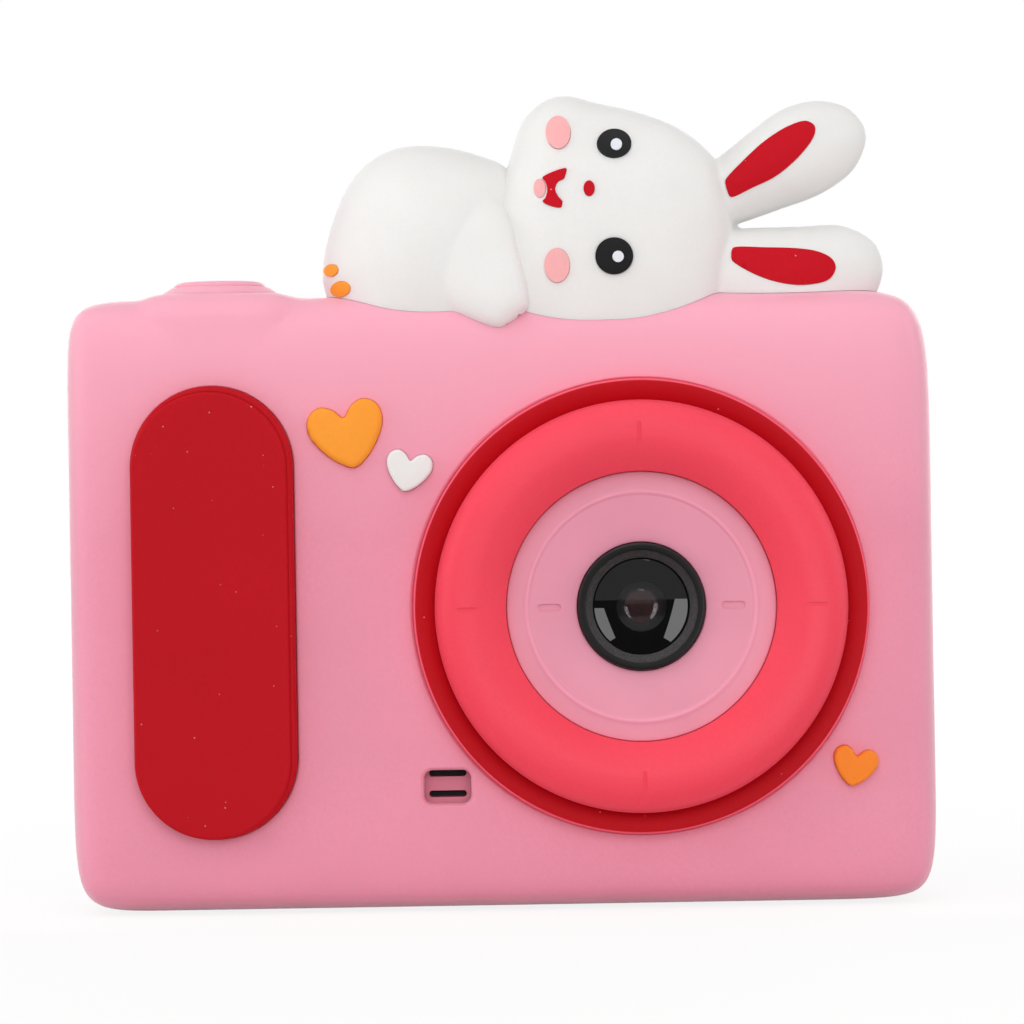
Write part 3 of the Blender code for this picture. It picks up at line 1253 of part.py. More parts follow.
def make_shutter(build):
    top = SHUTTER_TOP - STEM_BOTTOM
    cap_bottom = SHUTTER_BOTTOM - STEM_BOTTOM
    flange_top = INNER_TOP - CLEARANCE - STEM_BOTTOM
    profile = [
        (0.0, top),
        (SHUTTER_RADIUS - SHUTTER_EDGE, top),
        (SHUTTER_RADIUS, top - SHUTTER_EDGE),
        (SHUTTER_RADIUS, cap_bottom),
        (STEM_RADIUS, cap_bottom),
        (STEM_RADIUS, flange_top),
        (STEM_FLANGE_RADIUS, flange_top),
        (STEM_FLANGE_RADIUS, flange_top - STEM_FLANGE_THICKNESS),
        (STEM_RADIUS, flange_top - STEM_FLANGE_THICKNESS),
        (STEM_RADIUS, 0.0),
        (0.0, 0.0),
    ]
    place = Matrix.Translation((SHUTTER_X, SHUTTER_Y, STEM_BOTTOM))
    turned(build, "shutter_button", profile, "pink_silicone", place, closed=False)
    half = SWITCH_SIDE / 2
    body_top = SWITCH_BOTTOM + SWITCH_HEIGHT
    switch = block(
        (SHUTTER_X - half, SHUTTER_Y - half, SWITCH_BOTTOM), (SHUTTER_X + half, SHUTTER_Y + half, body_top)
    )
    switch = build.add("shutter_switch", switch, "black_plastic")
    plunger = cylinder(
        (SHUTTER_X, SHUTTER_Y, body_top - SWITCH_HEIGHT / 2),
        (SHUTTER_X, SHUTTER_Y, SWITCH_TOP),
        PLUNGER_RADIUS,
    )
    build.join(switch, build.add("shutter_switch_plunger", plunger, None))
    board_half = SHUTTER_BOARD_WIDTH / 2
    board = block(
        (SHUTTER_X - board_half, INNER_FRONT + CLEARANCE, SHUTTER_BOARD_BOTTOM),
        (SHUTTER_X + board_half, INNER_FRONT + SHELF_REACH, SHUTTER_BOARD_TOP),
    )
    build.add("shutter_board", board, "circuit_board")


def make_keys(build):
    for name, radius, x, z in KEYS:
        top = PANEL_OUTER + KEY_RISE - KEY_STEM_END
        flange_back = KEY_FLANGE_BACK - KEY_STEM_END
        flange_front = flange_back - KEY_FLANGE_THICKNESS
        profile = [
            (0.0, top),
            (radius - KEY_EDGE, top),
            (radius, top - KEY_EDGE),
            (radius, flange_back),
            (radius + KEY_FLANGE_WIDTH, flange_back),
            (radius + KEY_FLANGE_WIDTH, flange_front),
            (KEY_STEM_RADIUS, flange_front),
            (KEY_STEM_RADIUS, 0.0),
            (0.0, 0.0),
        ]
        place = Matrix.Translation((x, KEY_STEM_END, z)) @ BACKWARD
        turned(build, name, profile, "white_plastic", place, SMALL_TURN_STEPS, False)
    make_dome_sheet(build)


def make_dome_sheet(build):
    """One film on the main board with a metal dome under each key."""
    lowest = min(z - radius for _, radius, _, z in KEYS) - DOME_SHEET_MARGIN
    highest = max(z + radius for _, radius, _, z in KEYS) + DOME_SHEET_MARGIN
    left = min(x - radius for _, radius, x, _ in KEYS) - DOME_SHEET_MARGIN
    right = max(x + radius for _, radius, x, _ in KEYS) + DOME_SHEET_MARGIN
    film = block((left, DOME_SHEET_FRONT, lowest), (right, DOME_SHEET_BACK, highest))
    sheet = build.add("key_dome_sheet", film, "flex_film")
    for name, _, x, z in KEYS:
        start = DOME_SHEET_BACK - DOME_SHEET_THICKNESS / 2
        key_dome = cylinder((x, start, z), (x, DOME_TOP, z), DOME_RADIUS, end_radius=DOME_TOP_RADIUS)
        build.join(sheet, build.add(name + "_dome", key_dome, None))
    for i, (x, z) in enumerate(SCREW_SPOTS[::2], 1):
        notch = cylinder(
            (x, DOME_SHEET_FRONT - OVERCUT, z), (x, DOME_TOP + OVERCUT, z), BOSS_RADIUS + CLEARANCE
        )
        build.cut(sheet, build.add(f"key_dome_sheet_notch_{i}", notch, None))


def make_ports(build):
    outline = rounded_rectangle(USB_HEIGHT, USB_WIDTH, USB_HEIGHT / 2)
    cavity_outline = rounded_rectangle(
        USB_HEIGHT - 2 * USB_WALL, USB_WIDTH - 2 * USB_WALL, USB_HEIGHT / 2 - USB_WALL
    )
    place = Matrix.Translation((USB_END, PORT_Y, USB_Z)) @ TO_PORT_SIDE
    port = build.add("usb_port", prism(outline, 0.0, USB_LENGTH), "steel", place)
    cavity = build.add("usb_port_cavity", prism(cavity_outline, -OVERCUT, USB_CAVITY_DEPTH), None, place)
    build.cut(port, cavity)
    tongue_half = USB_TONGUE_THICKNESS / 2
    tongue = block(
        (-tongue_half, USB_CAVITY_DEPTH - USB_TONGUE_LENGTH, -USB_TONGUE_WIDTH / 2),
        (tongue_half, USB_CAVITY_DEPTH + USB_WALL, USB_TONGUE_WIDTH / 2),
    )
    build.join(port, build.add("usb_port_tongue", tongue, None, place))
    half_width = CARD_WIDTH / 2
    card = block(
        (-CARD_LENGTH / 2, -CARD_THICKNESS / 2, -half_width),
        (CARD_LENGTH / 2, CARD_THICKNESS / 2, half_width),
    )
    card_place = Matrix.Translation((CARD_END - CARD_LENGTH / 2, CARD_Y, CARD_Z))
    build.add("memory_card", card, "black_plastic", card_place)
    socket_half = half_width + CLEARANCE + SOCKET_SIDE_WALL
    socket = block(
        (CARD_INNER_END - CLEARANCE - SOCKET_WALL, SOCKET_BACK - SOCKET_DEPTH, CARD_Z - socket_half),
        (SOCKET_END, SOCKET_BACK, CARD_Z + socket_half),
    )
    socket = build.add("card_socket", socket, "steel")
    slot_half = CARD_THICKNESS / 2 + CLEARANCE
    slot = block(
        (CARD_INNER_END - CLEARANCE, CARD_Y - slot_half, CARD_Z - half_width - CLEARANCE),
        (SOCKET_END + OVERCUT, CARD_Y + slot_half, CARD_Z + half_width + CLEARANCE),
    )
    build.cut(socket, build.add("card_socket_slot", slot, None))


# The rabbit figure


def figure_forms(growth):
    """The rabbit's swelling forms by name, moved outwards by growth."""
    return {
        "head": pillow(in_figure(HEAD_OUTLINE), RABBIT_Y, HEAD_FRONT, HEAD_BACK, growth),
        "body": pillow(in_figure(BODY_OUTLINE), RABBIT_Y, BODY_FRONT, BODY_BACK, growth),
        "arm": pillow(in_figure(ARM_OUTLINE), ARM_Y, ARM_FRONT, ARM_BACK, growth),
        "upper_ear": pillow(in_figure(UPPER_EAR_OUTLINE), EAR_Y, EAR_FRONT, EAR_BACK, growth),
        "lower_ear": pillow(in_figure(LOWER_EAR_OUTLINE), EAR_Y, EAR_FRONT, EAR_BACK, growth),
    }


def inlay_outlines():
    """Each inlay's outline, the form that it is set into and its finish."""
    hosts = {
        "eye_upper": ("head", "black_silicone"),
        "eye_lower": ("head", "black_silicone"),
        "cheek_upper": ("head", "cheek_silicone"),
        "cheek_lower": ("head", "cheek_silicone"),
        "nose": ("head", "red_silicone"),
        "tongue": ("head", "cheek_silicone"),
        "toe_spot_upper": ("body", "orange_silicone"),
        "toe_spot_lower": ("body", "orange_silicone"),
    }
    inlays = {}
    for name, (host, finish) in hosts.items():
        x, z, half_width, half_height = OVALS[name]
        inlays[name] = (in_figure(oval(x, z, half_width, half_height)), host, finish)
    for name, outline, host in (
        ("mouth", MOUTH_OUTLINE, "head"),
        ("ear_inlay_upper", UPPER_INLAY_OUTLINE, "upper_ear"),
        ("ear_inlay_lower", LOWER_INLAY_OUTLINE, "lower_ear"),
    ):
        inlays[name] = (smooth_outline(in_figure(outline)), host, "red_silicone")
    return inlays


def make_rabbit(build):
    forms = figure_forms(0.0)
    figure = build.add("rabbit_figure", forms.pop("body"), "white_silicone")
    for name, bm in forms.items():
        build.join(figure, build.add("rabbit_" + name, bm, None))
    build.cut(figure, build.add("rabbit_seat", sleeve_form(CLEARANCE), None))
    layers = {}
    for label, growth in (
        ("raised", INLAY_RISE),
        ("back", -INLAY_SINK),
        ("floor", -INLAY_SINK - CLEARANCE),
        ("glint_raised", GLINT_RISE),
        ("glint_back", -GLINT_SINK),
        ("glint_floor", -GLINT_SINK - TRIM_GAP),
    ):
        for host, bm in figure_forms(growth).items():
            layers[host, label] = build.add(f"rabbit_{host}_{label}", bm, None)
    nearest = RABBIT_Y - HEAD_FRONT - OVERCUT
    for name, (outline, host, finish) in inlay_outlines().items():
        inlay = build.add(name, prism(outline, nearest, RABBIT_Y), finish)
        boolean(inlay, layers[host, "raised"], "INTERSECT")
        build.cut(inlay, layers[host, "back"])
        pocket = build.add(name + "_pocket", prism(grown(outline, TRIM_GAP), nearest, RABBIT_Y), None)
        build.cut(pocket, layers[host, "floor"])
        build.cut(figure, pocket)
        if name.startswith("eye"):
            make_glint(build, inlay, name.replace("eye", "eye_glint"), layers, nearest)


def make_glint(build, eye, name, layers, nearest):
    x, z, half_width, half_height = OVALS[name]
    outline = in_figure(oval(x, z, half_width, half_height, GLINT_STEPS))
    glint = build.add(name, prism(outline, nearest, RABBIT_Y), "white_silicone")
    boolean(glint, layers["head", "glint_raised"], "INTERSECT")
    build.cut(glint, layers["head", "glint_back"])
    pocket = build.add(name + "_pocket", prism(grown(outline, TRIM_GAP), nearest, RABBIT_Y), None)
    build.cut(pocket, layers["head", "glint_floor"])
    build.cut(eye, pocket)


def main():
    clear_scene()
    build = Builder()
    make_sleeve(build)
    make_grip(build)
    make_hearts(build)
    make_collar_and_ring(build)
    make_lens_face(build)
    make_barrel(build)
    make_lens_module(build)
    make_front_shell(build)
    make_rear_shell(build)
    make_screws(build)
    make_boards_and_screen(build)
    make_battery(build)
    make_speaker(build)
    make_shutter(build)
    make_keys(build)
    make_ports(build)
    make_rabbit(build)


main()
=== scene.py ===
import math
from contextlib import contextmanager

import bmesh
import bpy
import numpy as np
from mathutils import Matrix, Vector


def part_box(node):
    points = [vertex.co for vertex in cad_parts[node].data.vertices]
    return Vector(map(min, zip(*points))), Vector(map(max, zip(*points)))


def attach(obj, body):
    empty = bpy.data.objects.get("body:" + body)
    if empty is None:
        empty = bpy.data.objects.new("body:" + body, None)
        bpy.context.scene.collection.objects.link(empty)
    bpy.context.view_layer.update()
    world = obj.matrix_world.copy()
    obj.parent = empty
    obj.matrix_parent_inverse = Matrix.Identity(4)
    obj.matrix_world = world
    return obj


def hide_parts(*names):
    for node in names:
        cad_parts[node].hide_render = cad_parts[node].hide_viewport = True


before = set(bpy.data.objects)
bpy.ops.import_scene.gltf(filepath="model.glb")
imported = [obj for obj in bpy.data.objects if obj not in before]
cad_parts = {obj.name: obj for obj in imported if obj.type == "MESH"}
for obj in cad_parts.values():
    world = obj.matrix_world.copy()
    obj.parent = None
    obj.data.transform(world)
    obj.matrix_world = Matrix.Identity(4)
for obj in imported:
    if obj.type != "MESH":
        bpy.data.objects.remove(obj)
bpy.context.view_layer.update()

# Pieces are shaped in millimetres and brought to metres when they are done
MM = 0.001
TINY = 0.002

# The sleeve and the case, as the solids have them
HALF_WIDTH = 46.5
FRONT, BACK = -16.0, 16.0
TOP = 65.9
MIDDLE = TOP / 2
CENTRE = (0.0, MIDDLE)
WALL = 2.2
LIP = 1.6
PANEL_HALF = 40.2
PANEL_LOW, PANEL_HIGH = 6.3, 59.6
LENS_X, LENS_Z = 14.8, 32.2
COLLAR_RADIUS = 24.2
SHUTTER_X, SHUTTER_Y = -30.0, -6.6
TURRET_TOP = 66.35
GRIP_X, GRIP_Z = -30.6, 32.2
GRIP_WIDTH, GRIP_LENGTH = 17.3, 48.2
SEAT = 15.4
POCKET_FLOOR = 15.1
RABBIT_X, RABBIT_Y = -0.2, -5.0
KEY_X, PAD_Z = -26.2, 28.45
SCREEN_X = 12.0

TURN_STEPS = 128

# Turns that bring a piece's height to the lens side, the back, the +X side or the top
FACING = {
    "front": (math.pi / 2, 0.0, 0.0),
    "back": (math.pi / 2, 0.0, math.pi),
    "side": (math.pi / 2, 0.0, math.pi / 2),
    "top": (0.0, 0.0, 0.0),
}


# Ways of working


def activate(piece):
    bpy.ops.object.select_all(action="DESELECT")
    piece.select_set(True)
    bpy.context.view_layer.objects.active = piece


def settle(name):
    """Names the primitive just added and puts its place, turn and size into its mesh."""
    piece = bpy.context.object
    piece.name = name
    piece.data.name = name
    activate(piece)
    bpy.ops.object.transform_apply(location=True, rotation=True, scale=True)
    return piece


@contextmanager
def editing(piece, kind="FACE"):
    activate(piece)
    bpy.ops.object.mode_set(mode="EDIT")
    bpy.ops.mesh.select_mode(type=kind)
    bpy.ops.mesh.select_all(action="SELECT")
    yield
    bpy.ops.object.mode_set(mode="OBJECT")


def pick(piece, kind, wanted):
    """Selects the corners, edges or faces that are wanted, in edit mode."""
    bpy.ops.mesh.select_mode(type=kind)
    bpy.ops.mesh.select_all(action="DESELECT")
    shape = bmesh.from_edit_mesh(piece.data)
    for item in {"VERT": shape.verts, "EDGE": shape.edges, "FACE": shape.faces}[kind]:
        if wanted(item):
            item.select_set(True)
    bmesh.update_edit_mesh(piece.data)


def close_up():
    """Welds doubles and points all faces outwards, in edit mode."""
    bpy.ops.mesh.select_all(action="SELECT")
    bpy.ops.mesh.remove_doubles(threshold=TINY)
    bpy.ops.mesh.normals_make_consistent(inside=False)


def modify(piece, kind, **settings):
    activate(piece)
    modifier = piece.modifiers.new(kind.lower(), kind)
    for name, value in settings.items():
        setattr(modifier, name, value)
    bpy.ops.object.modifier_apply(modifier=modifier.name)
    return piece


def join(pieces):
    activate(pieces[0])
    for piece in pieces[1:]:
        piece.select_set(True)
    if len(pieces) > 1:
        bpy.ops.object.join()
    return pieces[0]


def combine(piece, operation, *tools):
    """Cuts or adds tools one by one, and clears them away."""
    for tool in tools:
        modify(piece, "BOOLEAN", operation=operation, solver="EXACT", object=tool)
        if len(piece.data.polygons) < 6:
            raise ValueError(f"{tool.name} left nothing of {piece.name}")
        bpy.data.objects.remove(tool)
    return piece


def cut(piece, *tools):
    return combine(piece, "DIFFERENCE", *tools)


def turn_to(piece, facing):
    activate(piece)
    piece.rotation_euler = FACING[facing]
    bpy.ops.object.transform_apply(location=True, rotation=True, scale=True)
    return piece


def twin(piece, name, across, up):
    """A copy with a mesh of its own, moved across and up."""
    activate(piece)
    bpy.ops.object.duplicate()
    bpy.ops.transform.translate(value=(across, 0.0, up))
    return settle(name)


# Outlines, as points across and up


def pill(width, height, middle, steps=32):
    radius = min(width, height) / 2
    reach_x, reach_y = width / 2 - radius, height / 2 - radius
    points = []
    for step in range(4 * steps):
        angle = 2 * math.pi * (step + 0.5) / (4 * steps)
        x = math.copysign(reach_x, math.cos(angle)) + radius * math.cos(angle)
        y = math.copysign(reach_y, math.sin(angle)) + radius * math.sin(angle)
        points.append((middle[0] + x, middle[1] + y))
    return points


def rounded_rectangle(width, height, radius, middle, steps=10):
    points = []
    for quarter, (side_x, side_y) in enumerate([(1, 1), (-1, 1), (-1, -1), (1, -1)]):
        for step in range(steps + 1):
            angle = (quarter + step / steps) * math.pi / 2
            x = side_x * (width / 2 - radius) + radius * math.cos(angle)
            y = side_y * (height / 2 - radius) + radius * math.sin(angle)
            points.append((middle[0] + x, middle[1] + y))
    return points


def circle(radius, middle, steps=TURN_STEPS):
    angles = [2 * math.pi * step / steps for step in range(steps)]
    return [(middle[0] + radius * math.cos(a), middle[1] + radius * math.sin(a)) for a in angles]


def smooth_outline(points, steps=8):
    """A closed curve through the points that doesn't overshoot, sampled steps times between each two."""
    knots = [np.array(point, dtype=float) for point in points]
    sampled = []
    for i in range(len(knots)):
        near = [knots[(i + k) % len(knots)] for k in (-1, 0, 1, 2)]
        gaps = [math.sqrt(math.dist(a, b)) for a, b in zip(near, near[1:])]
        times = [0.0, gaps[0], gaps[0] + gaps[1], sum(gaps)]
        for step in range(steps):
            t = times[1] + gaps[1] * step / steps
            level = near
            for reach in (1, 2):
                pairs = zip(level, level[1:], times, times[reach:])
                level = [between(*pair, t) for pair in pairs]
            sampled.append(tuple(between(level[0], level[1], times[1], times[2], t)))
    return sampled


def between(first, second, start, end, t):
    return ((end - t) * first + (t - start) * second) / (end - start)


def grown(points, distance):
    """The outline moved outwards by a distance."""
    knots = np.array(points)
    along = np.roll(knots, -1, axis=0) - np.roll(knots, 1, axis=0)
    along = along / np.linalg.norm(along, axis=1)[:, None]
    outward = np.stack([along[:, 1], -along[:, 0]], axis=1)
    shifted = np.roll(knots, -1, axis=0)
    area = np.sum(knots[:, 0] * shifted[:, 1] - shifted[:, 0] * knots[:, 1])
    return [tuple(point) for point in knots + outward * distance * (1 if area > 0 else -1)]


HEART_HALF = [
    (0.0, 0.25), (0.13, 0.40), (0.29, 0.47), (0.45, 0.36), (0.49, 0.12), (0.37, -0.17), (0.18, -0.41),
]
HEART_TIP = (0.0, -0.52)
HEART_HEIGHT_SHARE = 0.86
HEART_EDGE = 0.075
HEART_TOP = 17.0


def heart(width, gap, bearing, tilt):
    """A heart with round lobes, at a gap from the collar's edge on a bearing from the lens."""
    shape = HEART_HALF + [HEART_TIP] + [(-x, y) for x, y in reversed(HEART_HALF[1:])]
    reach = COLLAR_RADIUS + gap
    middle_x = LENS_X + reach * math.cos(math.radians(bearing))
    middle_z = LENS_Z + reach * math.sin(math.radians(bearing))
    lean, rise = math.cos(math.radians(tilt)), math.sin(math.radians(tilt))
    points = []
    for x, y in smooth_outline(shape):
        x, y = x * width, y * width * HEART_HEIGHT_SHARE
        points.append((middle_x + x * lean - y * rise, middle_z + x * rise + y * lean))
    return points


# Basic forms


def plate(name, outline, low, high, facing="front", edge=0.0, steps=5):
    """A plate of the outline's shape drawn out from low to high, its outer rim rounded by edge."""
    bpy.ops.mesh.primitive_circle_add(vertices=len(outline), radius=1.0, fill_type="NGON")
    piece = settle(name)
    for vert, (x, y) in zip(piece.data.vertices, outline):
        vert.co = (x, y, low)
    with editing(piece):
        bpy.ops.mesh.extrude_region_move(TRANSFORM_OT_translate={"value": (0, 0, high - low)})
        close_up()
        if edge:
            pick(piece, "EDGE", lambda e: all(abs(v.co.z - high) < TINY for v in e.verts))
            bpy.ops.mesh.bevel(offset=edge, segments=steps, profile=0.5, affect="EDGES")
    return turn_to(piece, facing)


def turned(name, profile, middle, facing="front", steps=TURN_STEPS):
    """A point is drawn along (radius, height) and spun about the axis through middle."""
    bpy.ops.mesh.primitive_plane_add(size=1.0)
    piece = settle(name)
    with editing(piece, "VERT"):
        bpy.ops.mesh.merge(type="CENTER")
        bpy.ops.transform.translate(value=(middle[0] + profile[0][0], middle[1], profile[0][1]))
        for (radius, height), (next_radius, next_height) in zip(profile, profile[1:]):
            move = (next_radius - radius, 0.0, next_height - height)
            bpy.ops.mesh.extrude_region_move(TRANSFORM_OT_translate={"value": move})
        bpy.ops.mesh.select_all(action="SELECT")
        bpy.ops.mesh.spin(steps=steps, angle=2 * math.pi, center=(*middle, 0.0), axis=(0.0, 0.0, 1.0))
        close_up()
    return turn_to(piece, facing)


def tube(name, inner, outer, low, high, middle, facing="front", steps=TURN_STEPS):
    walls = [(inner, low), (outer, low), (outer, high), (inner, high), (inner, low)]
    return turned(name, walls, middle, facing, steps)


def arc(middle, radius, start, end, steps=6):
    """Profile points on an arc, from one angle to another in degrees."""
    angles = [math.radians(start + (end - start) * step / steps) for step in range(steps + 1)]
    return [(middle[0] + radius * math.cos(a), middle[1] + radius * math.sin(a)) for a in angles]


# How far a pocket tool's mouth spreads for each flare, lies above the surface and rises past it
MOUTH_SPREAD, MOUTH_LIFT, MOUTH_RISE = 4, 0.01, 2.0


def is_mouth(edge):
    """An inner corner that turns sharply."""
    return len(edge.link_faces) == 2 and not edge.is_convex and edge.calc_face_angle() > 1.0


def pocket_tool(name, outline, floor, surface, flare, facing="front"):
    """A tool that sinks a pocket from the surface to the floor, with a mouth rounded by flare."""
    middle = np.mean(np.array(outline), axis=0)
    rim = surface + MOUTH_LIFT
    narrowest = np.min(np.linalg.norm(np.array(outline) - middle, axis=1))
    spread = 1.0 + MOUTH_SPREAD * flare / narrowest
    bpy.ops.mesh.primitive_circle_add(vertices=len(outline), radius=1.0, fill_type="NGON")
    tool = settle(name)
    for vert, (x, y) in zip(tool.data.vertices, outline):
        vert.co = (x, y, floor)
    with editing(tool):
        bpy.ops.mesh.extrude_region_move(TRANSFORM_OT_translate={"value": (0, 0, rim - floor)})
        bpy.ops.mesh.extrude_region_move(TRANSFORM_OT_translate={"value": (0, 0, 0)})
        bpy.ops.transform.resize(value=(spread, spread, 1.0), center_override=(*middle, rim))
        bpy.ops.mesh.extrude_region_move(TRANSFORM_OT_translate={"value": (0, 0, MOUTH_RISE)})
        bpy.ops.mesh.select_all(action="SELECT")
        bpy.ops.mesh.normals_make_consistent(inside=False)
        pick(tool, "EDGE", is_mouth)
        bpy.ops.mesh.bevel(offset=flare, segments=4, profile=0.5, affect="EDGES")
    return turn_to(tool, facing)


# The silicone sleeve

# How far each corner's rounding is drawn in, across and up: left top, right top, left bottom, right bottom
CORNER_DRAWS = {(-1, 1): (7.2, 9.0), (1, 1): (9.4, 14.7), (-1, -1): (7.6, 11.5), (1, -1): (7.6, 11.0)}
SIDE_DRAW, TOP_DRAW, BOTTOM_DRAW = 10.5, 11.0, 9.5
FRONT_DRAW, BACK_DRAW = 9.5, 4.6
TURRET_SIDE = -15.0
SPEAKER_X, SPEAKER_Z = -6.07, 13.24
SOUND_Z = 13.5

# Openings: width, height, corner radius and middle
SPEAKER_WINDOW = (5.0, 3.6, 0.9, (SPEAKER_X, SPEAKER_Z))
PORT_WINDOW = (9.0, 32.45, 3.0, (4.9, 31.475))
LIP_OPENING = (81.0, 53.9, 4.3, (0.0, 32.95))

# Play round what is set into the sleeve
GRIP_PLAY, COLLAR_PLAY, HEART_PLAY = 0.04, 0.03, 0.02


def sleeve_form(name, growth=0.0):
    """The sleeve's soft block: a cube cut near each side, with its corner draws set, then subdivided."""
    half, low, high = HALF_WIDTH + growth, -growth, TOP + growth
    front, back = FRONT - growth, BACK + growth
    middle = (0, (front + back) / 2, (low + high) / 2)
    bpy.ops.mesh.primitive_cube_add(
        size=1.0, location=middle, scale=(2 * half, back - front, high - low)
    )
    piece = settle(name)
    left, right = -half + SIDE_DRAW, half - SIDE_DRAW
    upper, lower = high - TOP_DRAW, low + BOTTOM_DRAW
    across, deep, up = Vector((1, 0, 0)), Vector((0, 1, 0)), Vector((0, 0, 1))
    planes = [(across, left), (across, right), (up, upper), (up, lower)]
    planes += [(deep, front + FRONT_DRAW), (deep, back - BACK_DRAW), (across, TURRET_SIDE)]
    with editing(piece):
        for normal, place in planes:
            bpy.ops.mesh.select_all(action="SELECT")
            bpy.ops.mesh.bisect(plane_co=normal * place, plane_no=normal)
    for vert in piece.data.vertices:
        x, _, z = vert.co
        side = 1 if x > 0 else -1
        level = 1 if z > MIDDLE else -1
        draw_x, draw_z = CORNER_DRAWS[side, level]
        on_side = abs(abs(x) - half) < TINY
        on_end = min(abs(z - high), abs(z - low)) < TINY
        if on_end and abs(abs(x) - right) < TINY:
            vert.co.x = side * (half - draw_x)
        if on_side and not on_end:
            vert.co.z = high - draw_z if level > 0 else low + draw_z
    return modify(piece, "SUBSURF", levels=4, render_levels=4)


TURRET_RADIUS, TURRET_EDGE = 9.1, 2.9
TURRET_FILLET, TURRET_SOFTNESS = 1.3, 0.2
TURRET_SQUARENESS, TURRET_FOOT, TURRET_DRAFT = 4.5, 60.5, 0.03
TURRET_REACH, TURRET_LOWEST = 13.0, 55.0
FILLET_FOOT, FILLET_CLIMB = 63.5, 2.0
RAISE_ROUNDS = 12


def turret_distance(x, y, z):
    """How far a point is from the turret under the shutter button, round behind and squarer in front."""
    power = TURRET_SQUARENESS if y < SHUTTER_Y else 2.0
    spread = (abs(x - SHUTTER_X) ** power + abs(y - SHUTTER_Y) ** power) ** (1 / power)
    outward = spread - TURRET_RADIUS + TURRET_DRAFT * max(z - TURRET_FOOT, 0.0) + TURRET_EDGE
    upward = z - TURRET_TOP + TURRET_EDGE
    outside = math.hypot(max(outward, 0.0), max(upward, 0.0))
    return outside + min(max(outward, upward), 0.0) - TURRET_EDGE


def from_shutter(point):
    return math.hypot(point.x - SHUTTER_X, point.y - SHUTTER_Y)


def raise_turret(sleeve):
    """Pushes the sleeve's skin out to the turret, with a fillet on top that fades out down the front."""

    def near(face):
        middle = face.calc_center_median()
        return from_shutter(middle) < TURRET_REACH + 0.5 and middle.z > TURRET_LOWEST

    with editing(sleeve):
        pick(sleeve, "FACE", near)
        bpy.ops.mesh.subdivide(number_cuts=2)
    normals = [vert.normal.copy() for vert in sleeve.data.vertices]
    for vert, normal in zip(sleeve.data.vertices, normals):
        start = vert.co.copy()
        if from_shutter(start) > TURRET_REACH or start.z < TURRET_LOWEST:
            continue
        rise = 0.0
        share = min(max(start.z - FILLET_FOOT, 0.0) / FILLET_CLIMB, 1.0)
        blend = TURRET_SOFTNESS + TURRET_FILLET * share
        for _ in range(RAISE_ROUNDS):
            distance = turret_distance(*(start + normal * rise))
            overlap = max(blend - abs(rise - distance), 0.0) / blend
            rise -= min(rise, distance) - overlap**3 * blend / 6
        vert.co = start + normal * max(rise, 0.0)


# Each heart's width, gap from the collar, bearing and tilt
HEARTS = {
    "heart_large": (8.2, 12.0, 148.7, 12.0),
    "heart_white": (5.0, 4.4, 148.9, -12.0),
    "heart_small": (4.8, 4.2, -37.7, -12.0),
}


def make_sleeve():
    sleeve = sleeve_form("sleeve_skin")
    raise_turret(sleeve)
    lens, shutter = (LENS_X, LENS_Z), (SHUTTER_X, SHUTTER_Y)
    grip = pill(GRIP_WIDTH + GRIP_PLAY, GRIP_LENGTH + GRIP_PLAY, (GRIP_X, GRIP_Z))
    collar = circle(COLLAR_RADIUS + COLLAR_PLAY, lens)
    pockets = [
        pocket_tool("grip_pocket", grip, POCKET_FLOOR, -FRONT, 0.25),
        pocket_tool("collar_pocket", collar, POCKET_FLOOR, -FRONT, 0.45),
        pocket_tool("speaker_window", rounded_rectangle(*SPEAKER_WINDOW), 12.0, -FRONT, 0.5),
        pocket_tool("shutter_pocket", circle(6.4, shutter), 64.9, TURRET_TOP, 0.1, "top"),
        pocket_tool("port_window", rounded_rectangle(*PORT_WINDOW), 43.2, HALF_WIDTH, 0.5, "side"),
        pocket_tool("lip_opening", rounded_rectangle(*LIP_OPENING), 13.0, BACK, 0.6, "back"),
    ]
    for name, sizes in HEARTS.items():
        outline = grown(heart(*sizes), HEART_PLAY)
        pockets.append(pocket_tool(name + "_pocket", outline, POCKET_FLOOR, -FRONT, 0.12))
    cut(sleeve, *pockets)
    room = rounded_rectangle(2 * (HALF_WIDTH - WALL), TOP - 2 * WALL, 3.8, CENTRE)
    cut(sleeve, plate("core_room", room, -BACK + LIP, -FRONT - WALL, edge=3.3))
    holes = [
        plate("lens_hole", circle(14.3, lens), 12.0, 17.0),
        plate("stem_hole", circle(2.3, shutter, 32), 62.0, 66.0, "top"),
    ]
    cut(sleeve, *holes)
    finish(sleeve, "camera", pink_silicone, "pink_silicone", "silicone_sleeve", weighted=True)


# What is set into the sleeve

GRIP_STRIP, GRIP_CREASE = 0.55, 0.04
CREASE_FLOOR, STRIP_TOP, GRIP_TOP = 17.72, 17.78, 18.0


def make_grip():
    """The grip: a red pill whose face sits low and left, with a strip along its right and top."""
    outline = pill(GRIP_WIDTH, GRIP_LENGTH, (GRIP_X, GRIP_Z))
    base = plate("grip_pad", outline, SEAT, STRIP_TOP, edge=0.5)
    middle = (GRIP_X - GRIP_STRIP / 2, GRIP_Z - GRIP_STRIP / 2)
    inset = GRIP_STRIP + GRIP_CREASE
    face = pill(GRIP_WIDTH - inset, GRIP_LENGTH - inset, middle)
    cut(base, plate("grip_crease", grown(face, GRIP_CREASE), CREASE_FLOOR, 19.0))
    combine(base, "UNION", plate("grip_face", face, 17.0, GRIP_TOP, edge=0.4))
    finish(base, "camera", red_silicone, "red_silicone", "finger_grip", weighted=True)


